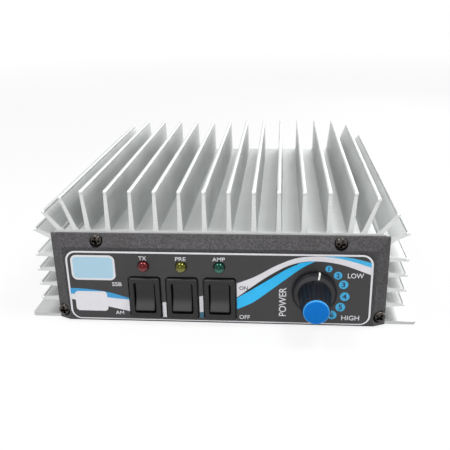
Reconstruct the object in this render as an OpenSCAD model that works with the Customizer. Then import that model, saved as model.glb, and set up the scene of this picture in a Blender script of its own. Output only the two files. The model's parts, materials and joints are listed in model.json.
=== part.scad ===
// HF linear amplifier: a finned aluminium channel closed by a base plate and two end
// covers, with rocker switches, lamps and a power selector on the front and coaxial
// sockets on the back. Millimetres. +X right, +Y back, +Z up. The origin is the centre
// of the base plate's underside.

/* [Heatsink] */
// Length of the extrusion, front to back
heat_l = 142; // [130:1:170]
// Width of the channel, without its fins
body_w = 143.2; // [138:0.2:156]
// Height of the channel's top face above the underside of the base plate
body_h = 42; // [40:0.5:48]
// Thickness of the channel's roof, which carries the transistors
roof_t = 6; // [5:0.5:7]
// Thickness of the channel's side walls
wall_t = 4.2; // [3.5:0.1:5]
// Radius of the channel's two upper corners
corner_r = 4; // [2:0.5:5]
// Height of the tall fins above the roof
fin_h = 18; // [10:0.5:25]
// Spacing of the upright fins
fin_pitch = 10.35; // [9.6:0.05:10.6]
// Fin thickness at the root
fin_root_t = 2.1; // [1.8:0.1:2.6]
// Fin thickness at the tip
fin_tip_t = 1.4; // [1.1:0.1:1.7]
// Radius of the rounded bead along each fin's tip
bead_r = 0.85; // [0.75:0.05:1]
// Length of the level fins on the sides
side_fin_l = 8.4; // [5:0.2:12]
// Spacing of the level fins
side_pitch = 7.05; // [6:0.05:7.4]
// Height of the lowest level fin's centre line
side_fin_z = 9.3; // [8:0.1:11]

/* [Base plate] */
// Thickness of the base plate
base_t = 1.5; // [1.2:0.1:2.5]
// How far the base plate reaches past the level fins
base_lip = 5; // [2:0.5:12]

/* [End covers] */
// Depth of a cover, from the heatsink's end to its flat face
cover_d = 4; // [3.6:0.1:5]
// Width of the bevel on the top and both sides of a cover
bevel_w = 5.2; // [4.8:0.1:6]
// Depth of the square rim behind the bevel
rim_d = 1; // [0.6:0.1:1.4]
// Thickness of a cover's flat face
plate_t = 2; // [1.6:0.1:2.4]
// Height of a cover's lower edge above the underside of the base plate
cover_foot = 0.5; // [0.3:0.1:1]
// How far the roof stands above a cover
cover_drop = 1; // [0.5:0.1:1.5]
// Thickness of the printed front label
label_t = 0.25; // [0.15:0.05:0.4]
// Distance of the two upper cover screws from the middle
top_screw_x = 51.5; // [45:0.5:56]
// Height of the two lower cover screws
low_screw_z = 4.9; // [4.4:0.1:6]

/* [Switches] */
// Width of a switch frame
frame_w = 13.3; // [13:0.1:14]
// Height of a switch frame
frame_h = 18.7; // [18.4:0.1:19.4]
// How far a switch frame stands out of the label
frame_out = 1.2; // [0.8:0.1:1.6]
// Width of the open groove round a switch frame
groove_w = 0.65; // [0.4:0.05:0.7]
// Spacing of the three switches
switch_pitch = 16.25; // [15.8:0.05:17]
// Place of the middle switch, left of the centre line
switch_mid_x = -15.25; // [-17:0.25:-13]
// Height of the switches' centre
switch_z = 12.8; // [12:0.1:14]
// Depth of a switch body behind the front of the label
switch_depth = 16; // [12:0.5:18]
// Swing of a rocker from one position to the other, degrees
rocker_swing = 20; // [14:1:20]

/* [Lamps] */
// Diameter of a lamp's lens
lamp_d = 5; // [4:0.1:5.2]
// Height of the lamps between the switch windows and the label's top, as a share
lamp_share = 0.41; // [0.36:0.01:0.6]

/* [Selector and knob] */
// Place of the selector, right of the centre line
selector_x = 41; // [38:0.5:44]
// Height of the selector
selector_z = 17; // [16:0.1:18]
// Radius of the selector's round housing
selector_r = 13; // [11:0.5:13.5]
// Depth of the selector's housing
selector_depth = 19; // [14:1:22]
// Radius of the selector shaft
shaft_r = 3; // [2.5:0.1:3.2]
// Radius of the threaded bushing
bushing_r = 4; // [3.9:0.05:4.2]
// Radius of the knob's skirt
skirt_r = 9.4; // [9:0.1:11]
// Height of the whole knob with its cap
knob_h = 18.6; // [17:0.1:21]
// Radius of the knob's grip where it meets the skirt
grip_r = 6.9; // [6.7:0.1:7.4]
// Radius of the knob's grip at its front end
grip_end_r = 5.75; // [5.5:0.05:6.2]
// Number of flutes round the grip
flutes = 18; // [10:1:18]
// Turn of the pointer clockwise from straight up, degrees
pointer_turn = 12; // [0:1:20]

/* [Board] */
// Thickness of the circuit board
board_t = 1.6; // [1.2:0.1:2]
// Height of the spacers between the roof and the board
spacer_h = 3.4; // [3:0.1:4.5]
// Gap between the board's edges and the channel's walls
board_gap = 1; // [0.5:0.1:2]

/* [Rear sockets] */
// Outer radius of a coaxial socket's threaded barrel
barrel_r = 7.94; // [7.6:0.01:8.2]
// Length of the threaded barrel in front of its flange
barrel_l = 11.5; // [9:0.5:14]
// Side of the square socket flange
flange_w = 25.4; // [24:0.1:27]
// Radius of the centre contact's bore
contact_bore_r = 2; // [1.8:0.05:2.1]
// Height of the sockets' centre
socket_z = 18.5; // [17:0.5:20]
// Distance of the antenna socket's middle from the right side of the cover
antenna_in = 27.6; // [24:0.2:31]
// Distance between the middles of the two sockets
socket_apart = 36; // [32:0.5:40]
// Distance of the supply cable's grommet from the left side of the cover
grommet_in = 29.6; // [24:0.2:34]
// Bore radius of the grommet
grommet_bore_r = 4; // [3:0.1:5]

/* [Hidden] */

// Shared clearances: screws in their holes, parts that turn, parts laid side by side
screw_gap = 0.05;
turn_gap = 0.06;
slip_gap = 0.1;
eps = 0.01;

// Outline sizes that follow from the ones above
half_w = body_w / 2;
end_y = heat_l / 2;
base_w = body_w + 2 * side_fin_l + 2 * base_lip;
fin_top = body_h + fin_h;
roof_z = body_h - roof_t;
face_y = end_y + cover_d;
label_y = face_y + label_t;
cover_top = body_h - cover_drop;
inner_face_y = face_y - plate_t;

// M3 screws: shank, pan head and countersunk head
screw_r = 1.45;
hole_r = screw_r + screw_gap;
head_r = 2.5;
head_t = 2;
sunk_r = 2.7;
sunk_t = 1.3;
sink_below = 0.1;
cross_w = 0.6;
cross_l = 2.6;
cross_d = 1.1;

// The foot that thickens each wall for the base and lower cover screws
foot_t = 7.2;
foot_h = 9.5;
foot_x = half_w - wall_t / 2 - 0.5;
base_screw_end = 21;
base_screw_span = heat_l - 2 * base_screw_end;
base_screw_l = 7;

// Fin details
upright_fins = 10;
fin_sink = 1;
flare_w = 0.35;
flare_h = 0.8;

// Leaning fins: root distance in from the channel's side, root height below the roof's
// face, lean from upright in degrees, and length
lean_fins = [
  [16.3, 0, 5.4, fin_h],
  [10.8, 0, 20, fin_h - 1.6],
  [4.3, 0.2, 39.5, fin_h - 6.3],
  [0.2, 3.4, 64.5, side_fin_l + 0.5]
];
side_fins = 4;

// Cover screws sit in the middle of the bevel
bevel_mid = bevel_w / 2;
top_screw_z = cover_top - bevel_mid;
low_screw_x = half_w - bevel_mid;
screw_seat = 1.6;
sink_r = 2.85;
cover_screw_l = 10;
cover_points = [
  [-top_screw_x, top_screw_z], [top_screw_x, top_screw_z],
  [-low_screw_x, low_screw_z], [low_screw_x, low_screw_z]
];
// The hollow behind a cover's flat face
hollow_w = body_w - 2 * bevel_w - 3;
hollow_low = cover_foot + 2.5;
hollow_high = cover_top - bevel_w - 1.5;
label_side = 0.9;
label_low = cover_foot + 0.7;
label_high = cover_top - bevel_w - 1.4;
label_r = 4.5;

// Switch details
switch_xs = [for (i = [-1:1]) switch_mid_x + i * switch_pitch];
body_gap = 0.15;
seat_d = 1;
frame_back = label_t + seat_d;
frame_corner_r = 1.1;
window_w = frame_w + 2 * groove_w;
window_h = frame_h + 2 * groove_w;
window_corner_r = frame_corner_r + groove_w;
switch_body_w = frame_w - 1.1;
switch_body_h = frame_h - 1.7;
frame_bevel = 0.35;
opening_w = frame_w - 4.1;
opening_h = frame_h - 4.4;
opening_corner_r = 0.9;
well_depth = 7.5;
pivot_back = 3;
pivot_r = 1;
pivot_in = 0.9;
rocker_w = opening_w - 0.9;
rocker_half = opening_h / 2 - 1;
rocker_corner_r = 0.7;
rocker_out = 4.6;
rocker_in = 2.6;
rocker_dish = 1.2;
dish_r = (rocker_half * rocker_half + rocker_dish * rocker_dish) / (2 * rocker_dish);
tab_w = 4.8;
tab_t = 0.8;
tab_l = 7;
tab_pitch = 5.4;

// Lamp details: the lens is a dome on a cylinder with a collar behind it
lamp_xs = [for (i = [-1:1]) switch_mid_x + i * switch_pitch];
lamp_r = lamp_d / 2;
lamp_z = switch_z + window_h / 2 + lamp_share * (label_high - switch_z - window_h / 2);
lamp_l = lamp_r + 3.7;
collar_r = lamp_r + 0.4;
collar_t = 1;
lead_w = 0.5;
lead_pitch = 2.54;
lead_in = 4;

// Selector details
nut_af = 10;
nut_t = 1.8;
thread_out = 2.3;
shaft_in = 9;
terminal_ring = 9.5;
selector_pins = 7;
pin_r = 0.6;
pin_l = 4;

// Knob details, measured forward from the label
knob_gap = 0.35;
skirt_edge = 2.2;
skirt_round = 0.3;
skirt_rise = 3.3;
foot_step = 0.25;
cap_r = 5.25;
cap_t = 1.3;
cap_sink = 1.2;
cap_edge = 0.35;
flute_r = 1.05;
flute_cut = 0.45;
nut_room_r = nut_af / 2 / cos(30) + 0.25;
nut_room_d = thread_out + 0.5;
collet_r = 4.4;
collet_l = 11;
shaft_end_gap = 0.6;
pointer_w = 0.95;
pointer_t = 0.35;

// Circuit board, hung under the roof
board_z = roof_z - spacer_h - board_t;
board_w = body_w - 2 * wall_t - 2 * board_gap;
board_front = -inner_face_y + selector_depth + 4;
board_end_gap = 9;
board_back = end_y - board_end_gap;
board_edge = board_w / 2;
board_l = board_back - board_front;
board_screw_x = board_w / 2 - 6;
board_points = [
  for (x = [-board_screw_x, board_screw_x], f = [0.05, 0.5, 0.95])
    [x, board_front + f * board_l]
];
spacer_r = 3.2;
roof_screw_in = 4;

// Power transistors: two pairs bolted to the roof through windows in the board
transistor_ys = [8, 36];
tr_flange_l = 24.6;
tr_flange_w = 6.2;
tr_flange_t = 1.6;
tr_hole_x = 9.2;
tr_cap_l = 9.8;
tr_cap_t = 4.8;
tr_lead_w = 5.5;
tr_lead_l = 4.8;
tr_lead_t = 0.2;
window_gap = 0.5;
core_w = 14;
core_gap = 1;
transistor_x = core_w + core_gap / 2 + tr_flange_l / 2 + 0.2;
tr_points = [for (x = [-transistor_x, transistor_x], y = transistor_ys) [x, y]];

// Transformers
core_h = 17;
core_l = 30;
core_y = 22;
tube_r = 4.3;
tube_wall = 0.5;
end_plate_t = 1.6;
input_core = [14, 12, 8];
input_core_y = -22;
input_hole_r = 1.9;

// Relays, capacitors, choke, resistors, fuses and trimmers
relay_size = [12.8, 29, 16];
relay_in = 18.4;
relay_x = board_edge - relay_in;
relay_y = 44;
relay_edge = 0.8;
cap_body_r = 5;
cap_body_h = 19;
cap_sleeve_r = 0.4;
cap_groove = 0.5;
cap_groove_at = 2.5;
cap_in = 20.4;
cap_x = board_edge - cap_in;
cap_y = -8;
cap_apart = [12, 14];
cap_points = [[-cap_x, cap_y], [-cap_x, cap_y + cap_apart[1]], [cap_apart[0] - cap_x, cap_y]];
choke_in = 20.4;
choke_at = [board_edge - choke_in, -6];
choke_out_r = 9;
choke_in_r = 4.8;
choke_t = 7;
choke_turns = 12;
wire_t = 1.1;
resistor_r = 2.2;
resistor_l = 12;
resistor_count = 5;
resistor_pitch = 6.5;
resistor_in = 36.4;
resistor_at = [board_edge - resistor_in, -26];
resistor_lift = 1;
fuse_in = 18.4;
fuse_at = [fuse_in - board_edge, -30];
fuse_pitch = 10;
fuse_count = 3;
fuse_w = 5;
fuse_l = 19;
holder_h = 9;
fuse_h = 9;
blade_y = 6;
blade_w = 5.2;
blade_t = 0.8;
blade_l = 7.5;
trimmer = [6.6, 7, 4.8];
trimmer_xs = [-9, 9];
trimmer_y = -38;

// Coaxial sockets, measured outward from the rear cover's face
antenna_x = half_w - antenna_in;
radio_x = antenna_x - socket_apart;
grommet_x = grommet_in - half_w;
flange_t = 2.4;
flange_hole = 18.2 / 2;
bore_r = 6.1;
bore_d = 8.5;
tail_r = 6.9;
tail_l = 5;
contact_r = 2.8;
contact_back = 9;
contact_short = 1.4;
contact_bore_d = 10;
nut3_af = 5.5;
nut3_t = 2.4;
socket_screw_l = 6.2;

// Grommet round the supply cable's hole
grommet_wall = 2;
grommet_neck_r = grommet_bore_r + grommet_wall;
grommet_lip_r = grommet_neck_r + grommet_wall;
grommet_lip_t = 2;
grommet_soft = 0.6;
grommet_z = 17;

// ---- helpers ----

// Points of an arc, for an outline's rounded corners
function arc(cx, cy, r, from, to, n = 6) =
  [for (i = [0:n]) [cx + r * cos(from + (to - from) * i / n), cy + r * sin(from + (to - from) * i / n)]];

function box_outline(w, h, r) = concat(
  arc(w / 2 - r, h / 2 - r, r, 0, 90), arc(-w / 2 + r, h / 2 - r, r, 90, 180),
  arc(-w / 2 + r, -h / 2 + r, r, 180, 270), arc(w / 2 - r, -h / 2 + r, r, 270, 360));

// A profile drawn in (x, z), carried forward along -y from y = 0
module forward(l) {
  rotate([90, 0, 0]) linear_extrude(l) children();
}

// Things drawn in front of the heatsink's front end, or turned round to its rear end
module at_front() {
  translate([0, -end_y, 0]) children();
}

module at_rear() {
  rotate([0, 0, 180]) translate([0, -end_y, 0]) children();
}

// A solid of revolution about the y axis, drawn as [radius, distance forward] points
module turned(points, sides = 64) {
  rotate([90, 0, 0]) rotate_extrude($fn = sides) polygon(points);
}

// A hole or pin along y, from near to far in front of y = 0
module rod_y(r, near, far) {
  translate([0, -near, 0]) rotate([90, 0, 0]) cylinder(h = far - near, r = r, $fn = 48);
}

module cross_recess() {
  for (turn = [0, 90]) {
    rotate([0, turn, 0]) translate([-cross_l / 2, -head_t - 1, -cross_w / 2])
      cube([cross_l, cross_d + 1, cross_w]);
  }
}

// A pan-head screw whose head faces -y, with its seat on y = 0
module pan_screw(l) {
  difference() {
    turned([
      [0, -l], [screw_r * 0.6, -l], [screw_r, -l + 1], [screw_r, 0], [head_r, 0],
      [head_r, head_t * 0.45], [head_r * 0.85, head_t * 0.8], [head_r * 0.5, head_t], [0, head_t]
    ]);
    cross_recess();
  }
}

// The same screw driven upward, with its head's seat on z = 0
module screw_up(l) {
  rotate([90, 0, 0]) pan_screw(l);
}

// ---- heatsink ----

// A fin's profile: a flare at its root, a taper, and a rounded bead at its tip
module fin_2d(l) {
  neck = 40;
  polygon(concat(
    [[-fin_root_t / 2 - flare_w, -fin_sink], [-fin_root_t / 2 - flare_w, 0], [-fin_root_t / 2, flare_h]],
    [[-fin_tip_t / 2, l - bead_r * (1 + cos(neck))]],
    arc(0, l - bead_r, bead_r, 270 - neck, neck - 90, 16),
    [[fin_tip_t / 2, l - bead_r * (1 + cos(neck))]],
    [[fin_root_t / 2, flare_h], [fin_root_t / 2 + flare_w, 0], [fin_root_t / 2 + flare_w, -fin_sink]]
  ));
}

module channel_2d() {
  difference() {
    polygon(concat(
      [[-half_w, base_t], [half_w, base_t]],
      arc(half_w - corner_r, body_h - corner_r, corner_r, 0, 90),
      arc(-half_w + corner_r, body_h - corner_r, corner_r, 90, 180)));
    polygon([
      [-half_w + foot_t, base_t - 1], [half_w - foot_t, base_t - 1],
      [half_w - foot_t, foot_h], [half_w - wall_t, foot_h + foot_t - wall_t],
      [half_w - wall_t, roof_z - 3], [half_w - wall_t - 3, roof_z],
      [-half_w + wall_t + 3, roof_z], [-half_w + wall_t, roof_z - 3],
      [-half_w + wall_t, foot_h + foot_t - wall_t], [-half_w + foot_t, foot_h]
    ]);
  }
}

module fins() {
  for (i = [0:upright_fins - 1]) {
    fin_at((i - (upright_fins - 1) / 2) * fin_pitch, body_h, 0, fin_h);
  }
  for (side = [-1, 1], fin = lean_fins) {
    fin_at(side * (half_w - fin[0]), body_h - fin[1], side * fin[2], fin[3]);
  }
  for (side = [-1, 1], i = [0:side_fins - 1]) {
    fin_at(side * half_w, side_fin_z + i * side_pitch, side * 90, side_fin_l);
  }
}

// One fin with its root at (x, z), leaning over to the right by an angle from upright
module fin_at(x, z, lean, l) {
  translate([x, 0, z]) rotate([0, lean, 0]) forward(heat_l) fin_2d(l);
}

module heatsink() {
  color("#b9bab8") difference() {
    translate([0, end_y, 0]) {
      forward(heat_l) channel_2d();
      fins();
    }
    cover_screw_holes();
    base_screw_holes();
    roof_holes(board_points);
    roof_holes(transistor_screw_points());
  }
}

module cover_screw_holes() {
  depth = cover_screw_l - screw_seat + 1;
  for (p = cover_points) {
    at_front() translate([p[0], 0, p[1]]) rod_y(hole_r, -depth, 1);
    at_rear() translate([p[0], 0, p[1]]) rod_y(hole_r, -depth, 1);
  }
}

module base_screw_holes() {
  for (p = base_points()) {
    translate([p[0], p[1], base_t - 1]) cylinder(h = base_screw_l + 1, r = hole_r, $fn = 32);
  }
}

module roof_holes(points) {
  for (p = points) {
    translate([p[0], p[1], roof_z - 1]) cylinder(h = roof_screw_in + 1, r = hole_r, $fn = 32);
  }
}

function base_points() =
  [for (x = [-foot_x, foot_x], f = [-0.5, 0, 0.5]) [x, f * base_screw_span]];

// ---- base plate ----

module base_plate() {
  color("#c2c3c1") difference() {
    linear_extrude(base_t) polygon(box_outline(base_w, heat_l, 1.5));
    for (p = base_points()) {
      translate([p[0], p[1], 0]) {
        translate([0, 0, -1]) cylinder(h = base_t + 2, r = hole_r, $fn = 32);
        translate([0, 0, -eps]) cylinder(
          h = sunk_t + sink_below + eps, r1 = sunk_r + screw_gap + sink_below, r2 = hole_r, $fn = 32);
      }
    }
  }
}

module base_plate_screws() {
  color("#8d8f90") for (p = base_points()) {
    translate([p[0], p[1], sink_below]) difference() {
      union() {
        cylinder(h = sunk_t, r1 = sunk_r, r2 = screw_r, $fn = 32);
        cylinder(h = base_screw_l, r = screw_r, $fn = 32);
      }
      for (turn = [0, 90]) {
        rotate(turn) translate([-cross_l / 2, -cross_w / 2, -eps]) cube([cross_l, cross_w, 0.9]);
      }
    }
  }
}

// ---- end covers ----

// A plate with a bevel on its top and sides, its back on y = 0 and its face forward
module cover_form() {
  intersection() {
    translate([-half_w, 0, 0]) rotate([90, 0, 90]) linear_extrude(body_w) polygon([
      [0, cover_foot], [0, cover_top], [-rim_d, cover_top],
      [-cover_d, cover_top - bevel_w], [-cover_d, cover_foot + 0.4], [-rim_d, cover_foot]
    ]);
    linear_extrude(body_h) polygon([
      [-half_w, 0], [-half_w, -rim_d], [-half_w + bevel_w, -cover_d],
      [half_w - bevel_w, -cover_d], [half_w, -rim_d], [half_w, 0]
    ]);
  }
}

module cover_hollow() {
  h = hollow_high - hollow_low;
  translate([0, 1, hollow_low + h / 2]) forward(cover_d - plate_t + 1) polygon(box_outline(hollow_w, h, 2));
}

module cover_blank() {
  difference() {
    cover_form();
    cover_hollow();
    for (p = cover_points) {
      translate([p[0], 0, p[1]]) {
        rod_y(hole_r, -1, cover_d + 1);
        rod_y(sink_r, screw_seat, cover_d + 1);
      }
    }
  }
}

module cover_screws() {
  for (p = cover_points) {
    translate([p[0], -screw_seat, p[1]]) pan_screw(cover_screw_l);
  }
}

module switch_holes(gap, far) {
  for (x = switch_xs) {
    translate([x, 0, switch_z]) forward(far)
      square([switch_body_w + 2 * gap, switch_body_h + 2 * gap], center = true);
  }
}

// Openings the size of the groove's outer edge, cut back from far in front to near
module switch_windows(near, far) {
  for (x = switch_xs) {
    translate([x, -near, switch_z]) forward(far - near)
      polygon(box_outline(window_w, window_h, window_corner_r));
  }
}

module front_cover() {
  color("#3c3c3f") at_front() difference() {
    cover_blank();
    translate([0, 1, 0]) switch_holes(body_gap, cover_d + 2);
    switch_windows(cover_d - seat_d, cover_d + 1);
    for (x = lamp_xs) {
      translate([x, 0, lamp_z]) rod_y(lamp_r + slip_gap, -1, cover_d + 1);
    }
    translate([selector_x, 0, selector_z]) rod_y(bushing_r + slip_gap, -1, cover_d + 1);
  }
}

// The printed sheet on the front cover's flat face
module front_label() {
  w = body_w - 2 * bevel_w - 2 * label_side;
  h = label_high - label_low;
  color("#434244") at_front() translate([0, -cover_d, 0]) difference() {
    translate([0, 0, label_low + h / 2]) forward(label_t) polygon(box_outline(w, h, label_r));
    switch_windows(-1, label_t + 1);
    for (x = lamp_xs) {
      translate([x, 0, lamp_z]) rod_y(lamp_r + slip_gap, -1, label_t + 1);
    }
    translate([selector_x, 0, selector_z]) rod_y(bushing_r + slip_gap, -1, label_t + 1);
  }
}

module front_cover_screws() {
  color("#3a3633") at_front() cover_screws();
}

module rear_cover() {
  color("#3c3c3f") at_rear() difference() {
    cover_blank();
    for (x = [-antenna_x, -radio_x]) {
      translate([x, 0, socket_z]) {
        rod_y(tail_r + slip_gap, -1, cover_d + 1);
        for (dx = [-flange_hole, flange_hole], dz = [-flange_hole, flange_hole]) {
          translate([dx, 0, dz]) rod_y(hole_r, -1, cover_d + 1);
        }
      }
    }
    translate([-grommet_x, 0, grommet_z]) rod_y(grommet_neck_r + slip_gap, -1, cover_d + 1);
  }
}

module rear_cover_screws() {
  color("#3a3633") at_rear() cover_screws();
}

// ---- rocker switches ----

// Local frame of a switch: y = 0 on the label's front, the opening centred on z = 0
module at_switch(i) {
  translate([switch_xs[i], -label_y, switch_z]) children();
}

module switch_body() {
  color("#2f2f31") difference() {
    union() {
      switch_frame();
      translate([0, switch_depth, 0]) forward(switch_depth + eps)
        square([switch_body_w, switch_body_h], center = true);
    }
    translate([0, well_depth, 0]) forward(well_depth + frame_out + 1)
      polygon(box_outline(opening_w, opening_h, opening_corner_r));
    translate([-opening_w / 2 - pivot_in - turn_gap, pivot_back, 0]) rotate([0, 90, 0])
      cylinder(h = opening_w + 2 * pivot_in + 2 * turn_gap, r = pivot_r + turn_gap, $fn = 32);
  }
}

// The frame, seated in the cover, with round corners and a narrow bevel round its face
module switch_frame() {
  w = frame_w;
  h = frame_h;
  b = frame_bevel;
  intersection() {
    translate([-w / 2, 0, 0]) rotate([90, 0, 90]) linear_extrude(w) polygon([
      [frame_back, -h / 2], [frame_back, h / 2], [-frame_out + b, h / 2], [-frame_out, h / 2 - b],
      [-frame_out, -h / 2 + b], [-frame_out + b, -h / 2]
    ]);
    translate([0, 0, -h / 2]) linear_extrude(h) polygon([
      [-w / 2, frame_back], [-w / 2, -frame_out + b], [-w / 2 + b, -frame_out],
      [w / 2 - b, -frame_out], [w / 2, -frame_out + b], [w / 2, frame_back]
    ]);
    translate([0, frame_back + 1, 0]) forward(frame_back + frame_out + 2)
      polygon(box_outline(w, h, frame_corner_r));
  }
}

// A rocker in its middle position, dished in front, on a pivot along x
module rocker_upright() {
  h = rocker_half;
  difference() {
    intersection() {
      translate([-rocker_w / 2, 0, 0]) rotate([90, 0, 90]) linear_extrude(rocker_w) polygon([
        [-rocker_out + 0.5, h], [-rocker_out, h - 0.5], [-rocker_out, -h + 0.5], [-rocker_out + 0.5, -h],
        [rocker_in - 1, -h], [rocker_in + 1, -h * 0.45], [rocker_in + 1, h * 0.45], [rocker_in - 1, h]
      ]);
      translate([0, rocker_in + 2, 0]) forward(rocker_out + rocker_in + 4)
        polygon(box_outline(rocker_w, 2 * h, rocker_corner_r));
    }
    translate([-opening_w, -rocker_out + rocker_dish - dish_r, 0]) rotate([0, 90, 0])
      cylinder(h = 2 * opening_w, r = dish_r, $fn = 128);
  }
  translate([-opening_w / 2 - pivot_in, 0, 0]) rotate([0, 90, 0])
    cylinder(h = opening_w + 2 * pivot_in, r = pivot_r, $fn = 32);
}

// At rest the top of each rocker is pressed in
module rocker() {
  color("#2a2a2c") translate([0, pivot_back, 0]) rotate([-rocker_swing / 2, 0, 0]) rocker_upright();
}

module mode_switch_body() {
  at_switch(0) switch_body();
}

module preamp_switch_body() {
  at_switch(1) switch_body();
}

module power_switch_body() {
  at_switch(2) switch_body();
}

module mode_rocker() {
  at_switch(0) rocker();
}

module preamp_rocker() {
  at_switch(1) rocker();
}

module power_rocker() {
  at_switch(2) rocker();
}

module switch_terminals() {
  color("#c9c6b8") for (i = [0:2], k = [-1:1]) {
    at_switch(i) translate([0, switch_depth + tab_l, k * tab_pitch]) difference() {
      forward(tab_l) square([tab_w, tab_t], center = true);
      translate([0, -1.8, -tab_t]) cylinder(h = 2 * tab_t, r = 0.7, $fn = 24);
    }
  }
}

// ---- lamps ----

module lamp(colour) {
  color(colour) translate([0, -label_y, 0]) turned(concat(
    [[0, -lamp_l], [collar_r, -lamp_l], [collar_r, -lamp_l + collar_t]],
    [[lamp_r, -lamp_l + collar_t], [lamp_r, 0]],
    [for (a = [10:10:80]) [lamp_r * cos(a), lamp_r * sin(a)]],
    [[0, lamp_r]]));
}

module tx_lamp() {
  translate([lamp_xs[0], 0, lamp_z]) lamp("#8c1420");
}

module preamp_lamp() {
  translate([lamp_xs[1], 0, lamp_z]) lamp("#8a8a1e");
}

module power_lamp() {
  translate([lamp_xs[2], 0, lamp_z]) lamp("#0f5f4a");
}

// Two leads run back from each lamp and bend up into the board
module lamp_leads() {
  start = -label_y + lamp_l;
  stop = board_front + lead_in;
  top = board_z + board_t + 0.5;
  color("#c8c8c4") for (x = lamp_xs, side = [-1, 1]) {
    translate([x + side * lead_pitch / 2 - lead_w / 2, 0, 0]) {
      translate([0, start, lamp_z - lead_w / 2]) cube([lead_w, stop - start, lead_w]);
      translate([0, stop - lead_w, lamp_z - lead_w / 2]) cube([lead_w, lead_w, top - lamp_z + lead_w / 2]);
    }
  }
}

// ---- selector switch ----

module at_selector() {
  translate([selector_x, -inner_face_y, selector_z]) children();
}

module selector_housing() {
  color("#26374f") at_selector() difference() {
    turned([
      [0, -selector_depth], [selector_r - 1, -selector_depth], [selector_r - 1, -selector_depth * 0.55],
      [selector_r, -selector_depth * 0.55], [selector_r, -0.4], [selector_r - 0.4, 0], [0, 0]
    ]);
    rod_y(shaft_r + turn_gap, -shaft_in - 0.3, 1);
  }
}

module selector_bushing() {
  l = plate_t + label_t + thread_out;
  color("#a8a59a") at_selector() difference() {
    turned([[0, 0], [bushing_r, 0], [bushing_r, l - 0.5], [bushing_r - 0.5, l], [0, l]]);
    rod_y(shaft_r + turn_gap, -1, l + 1);
  }
}

module selector_nut() {
  color("#b5b2a6") at_selector() translate([0, -plate_t - label_t, 0]) difference() {
    rotate([90, 0, 0]) cylinder(h = nut_t, d = nut_af / cos(30), $fn = 6);
    rod_y(bushing_r + slip_gap / 2, -1, nut_t + 1);
  }
}

module selector_shaft() {
  reach = plate_t + label_t + nut_room_d + collet_l - shaft_end_gap;
  color("#b0aea4") at_selector() rod_y(shaft_r, -shaft_in, reach);
}

module selector_terminals() {
  color("#c9c6b8") at_selector() for (i = [0:selector_pins - 1]) {
    a = i * 360 / selector_pins;
    translate([terminal_ring * cos(a), selector_depth + pin_l, terminal_ring * sin(a)]) rotate([90, 0, 0])
      cylinder(h = pin_l, r = pin_r, $fn = 24);
  }
}

// ---- knob ----

// Local frame of the knob: y = 0 on the label, the knob standing forward, pointer up
module at_knob() {
  translate([selector_x, -label_y, selector_z]) rotate([0, pointer_turn, 0]) children();
}

module knob_form(sides = 64) {
  end = knob_h - cap_t;
  turned([
    [0, knob_gap], [skirt_r, knob_gap], [skirt_r, skirt_edge],
    [skirt_r - skirt_round, skirt_edge + skirt_round],
    [grip_r + foot_step, skirt_rise], [grip_r, skirt_rise + foot_step],
    [grip_end_r, end - 0.3], [grip_end_r - 0.3, end],
    [0, end]
  ], sides);
}

module knob_flutes() {
  run = knob_h - skirt_rise;
  lean = atan((grip_r - grip_end_r) / run);
  for (i = [0:flutes - 1]) {
    rotate([0, (i + 0.5) * 360 / flutes, 0]) translate([0, -skirt_rise - 0.7, grip_r + flute_r - flute_cut])
      rotate([90 + lean, 0, 0]) cylinder(h = run + 2, r = flute_r, $fn = 32);
  }
}

module power_knob() {
  end = knob_h - cap_t;
  color("#23232c") at_knob() difference() {
    knob_form();
    knob_flutes();
    rod_y(nut_room_r, -1, nut_room_d);
    rod_y(collet_r, 0, nut_room_d + collet_l);
    rod_y(cap_r - 0.6, end - cap_sink, end + 1);
    pointer_form(0);
  }
}

// The brass insert that grips the shaft
module knob_collet() {
  color("#b08d4a") at_knob() difference() {
    rod_y(collet_r, nut_room_d, nut_room_d + collet_l);
    rod_y(shaft_r + 0.02, 0, nut_room_d + collet_l + 1);
  }
}

module knob_cap() {
  end = knob_h - cap_t;
  color("#0b77d0") at_knob() turned([
    [0, end - cap_sink + 0.1], [cap_r - 0.65, end - cap_sink + 0.1], [cap_r - 0.65, end],
    [cap_r, end], [cap_r, knob_h - cap_edge - 0.2], [cap_r - cap_edge, knob_h - 0.2],
    [cap_r * 0.5, knob_h - 0.05], [0, knob_h]
  ]);
}

// A white line let into the skirt, up its side and over its sloping front; drawn as
// [distance forward, height] points
module pointer_form(gap) {
  foot = [-skirt_rise, grip_r + foot_step + 0.1];
  low = -knob_gap - 0.25;
  t = pointer_t - gap;
  translate([-pointer_w / 2 + gap, 0, 0]) rotate([90, 0, 90]) linear_extrude(pointer_w - 2 * gap) polygon([
    [low - gap, skirt_r + 1], [low - gap, skirt_r - t], [-skirt_edge - skirt_round + t, skirt_r - t - skirt_round],
    [foot[0] + t, foot[1] + gap], [foot[0] - 1, foot[1] + gap], [foot[0] - 1, skirt_r + 1]
  ]);
}

module knob_pointer() {
  color("#f2f2f2") at_knob() intersection() {
    pointer_form(0.02);
    knob_form(256);
  }
}

// ---- circuit board ----

module circuit_board() {
  color("#2d6b45") difference() {
    translate([-board_w / 2, board_front, board_z]) cube([board_w, board_l, board_t]);
    for (p = tr_points) {
      translate([p[0], p[1], board_z + board_t / 2]) cube(
        [tr_flange_l + 2 * window_gap, tr_flange_w + 2 * window_gap, board_t + 1], center = true);
    }
    for (p = board_points) {
      translate([p[0], p[1], board_z - 1]) cylinder(h = board_t + 2, r = hole_r, $fn = 32);
    }
    for (x = lamp_xs, side = [-1, 1]) {
      translate([x + side * lead_pitch / 2, board_front + lead_in - lead_w / 2, board_z - 1])
        cylinder(h = board_t + 2, r = 0.5, $fn = 24);
    }
  }
}

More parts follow.
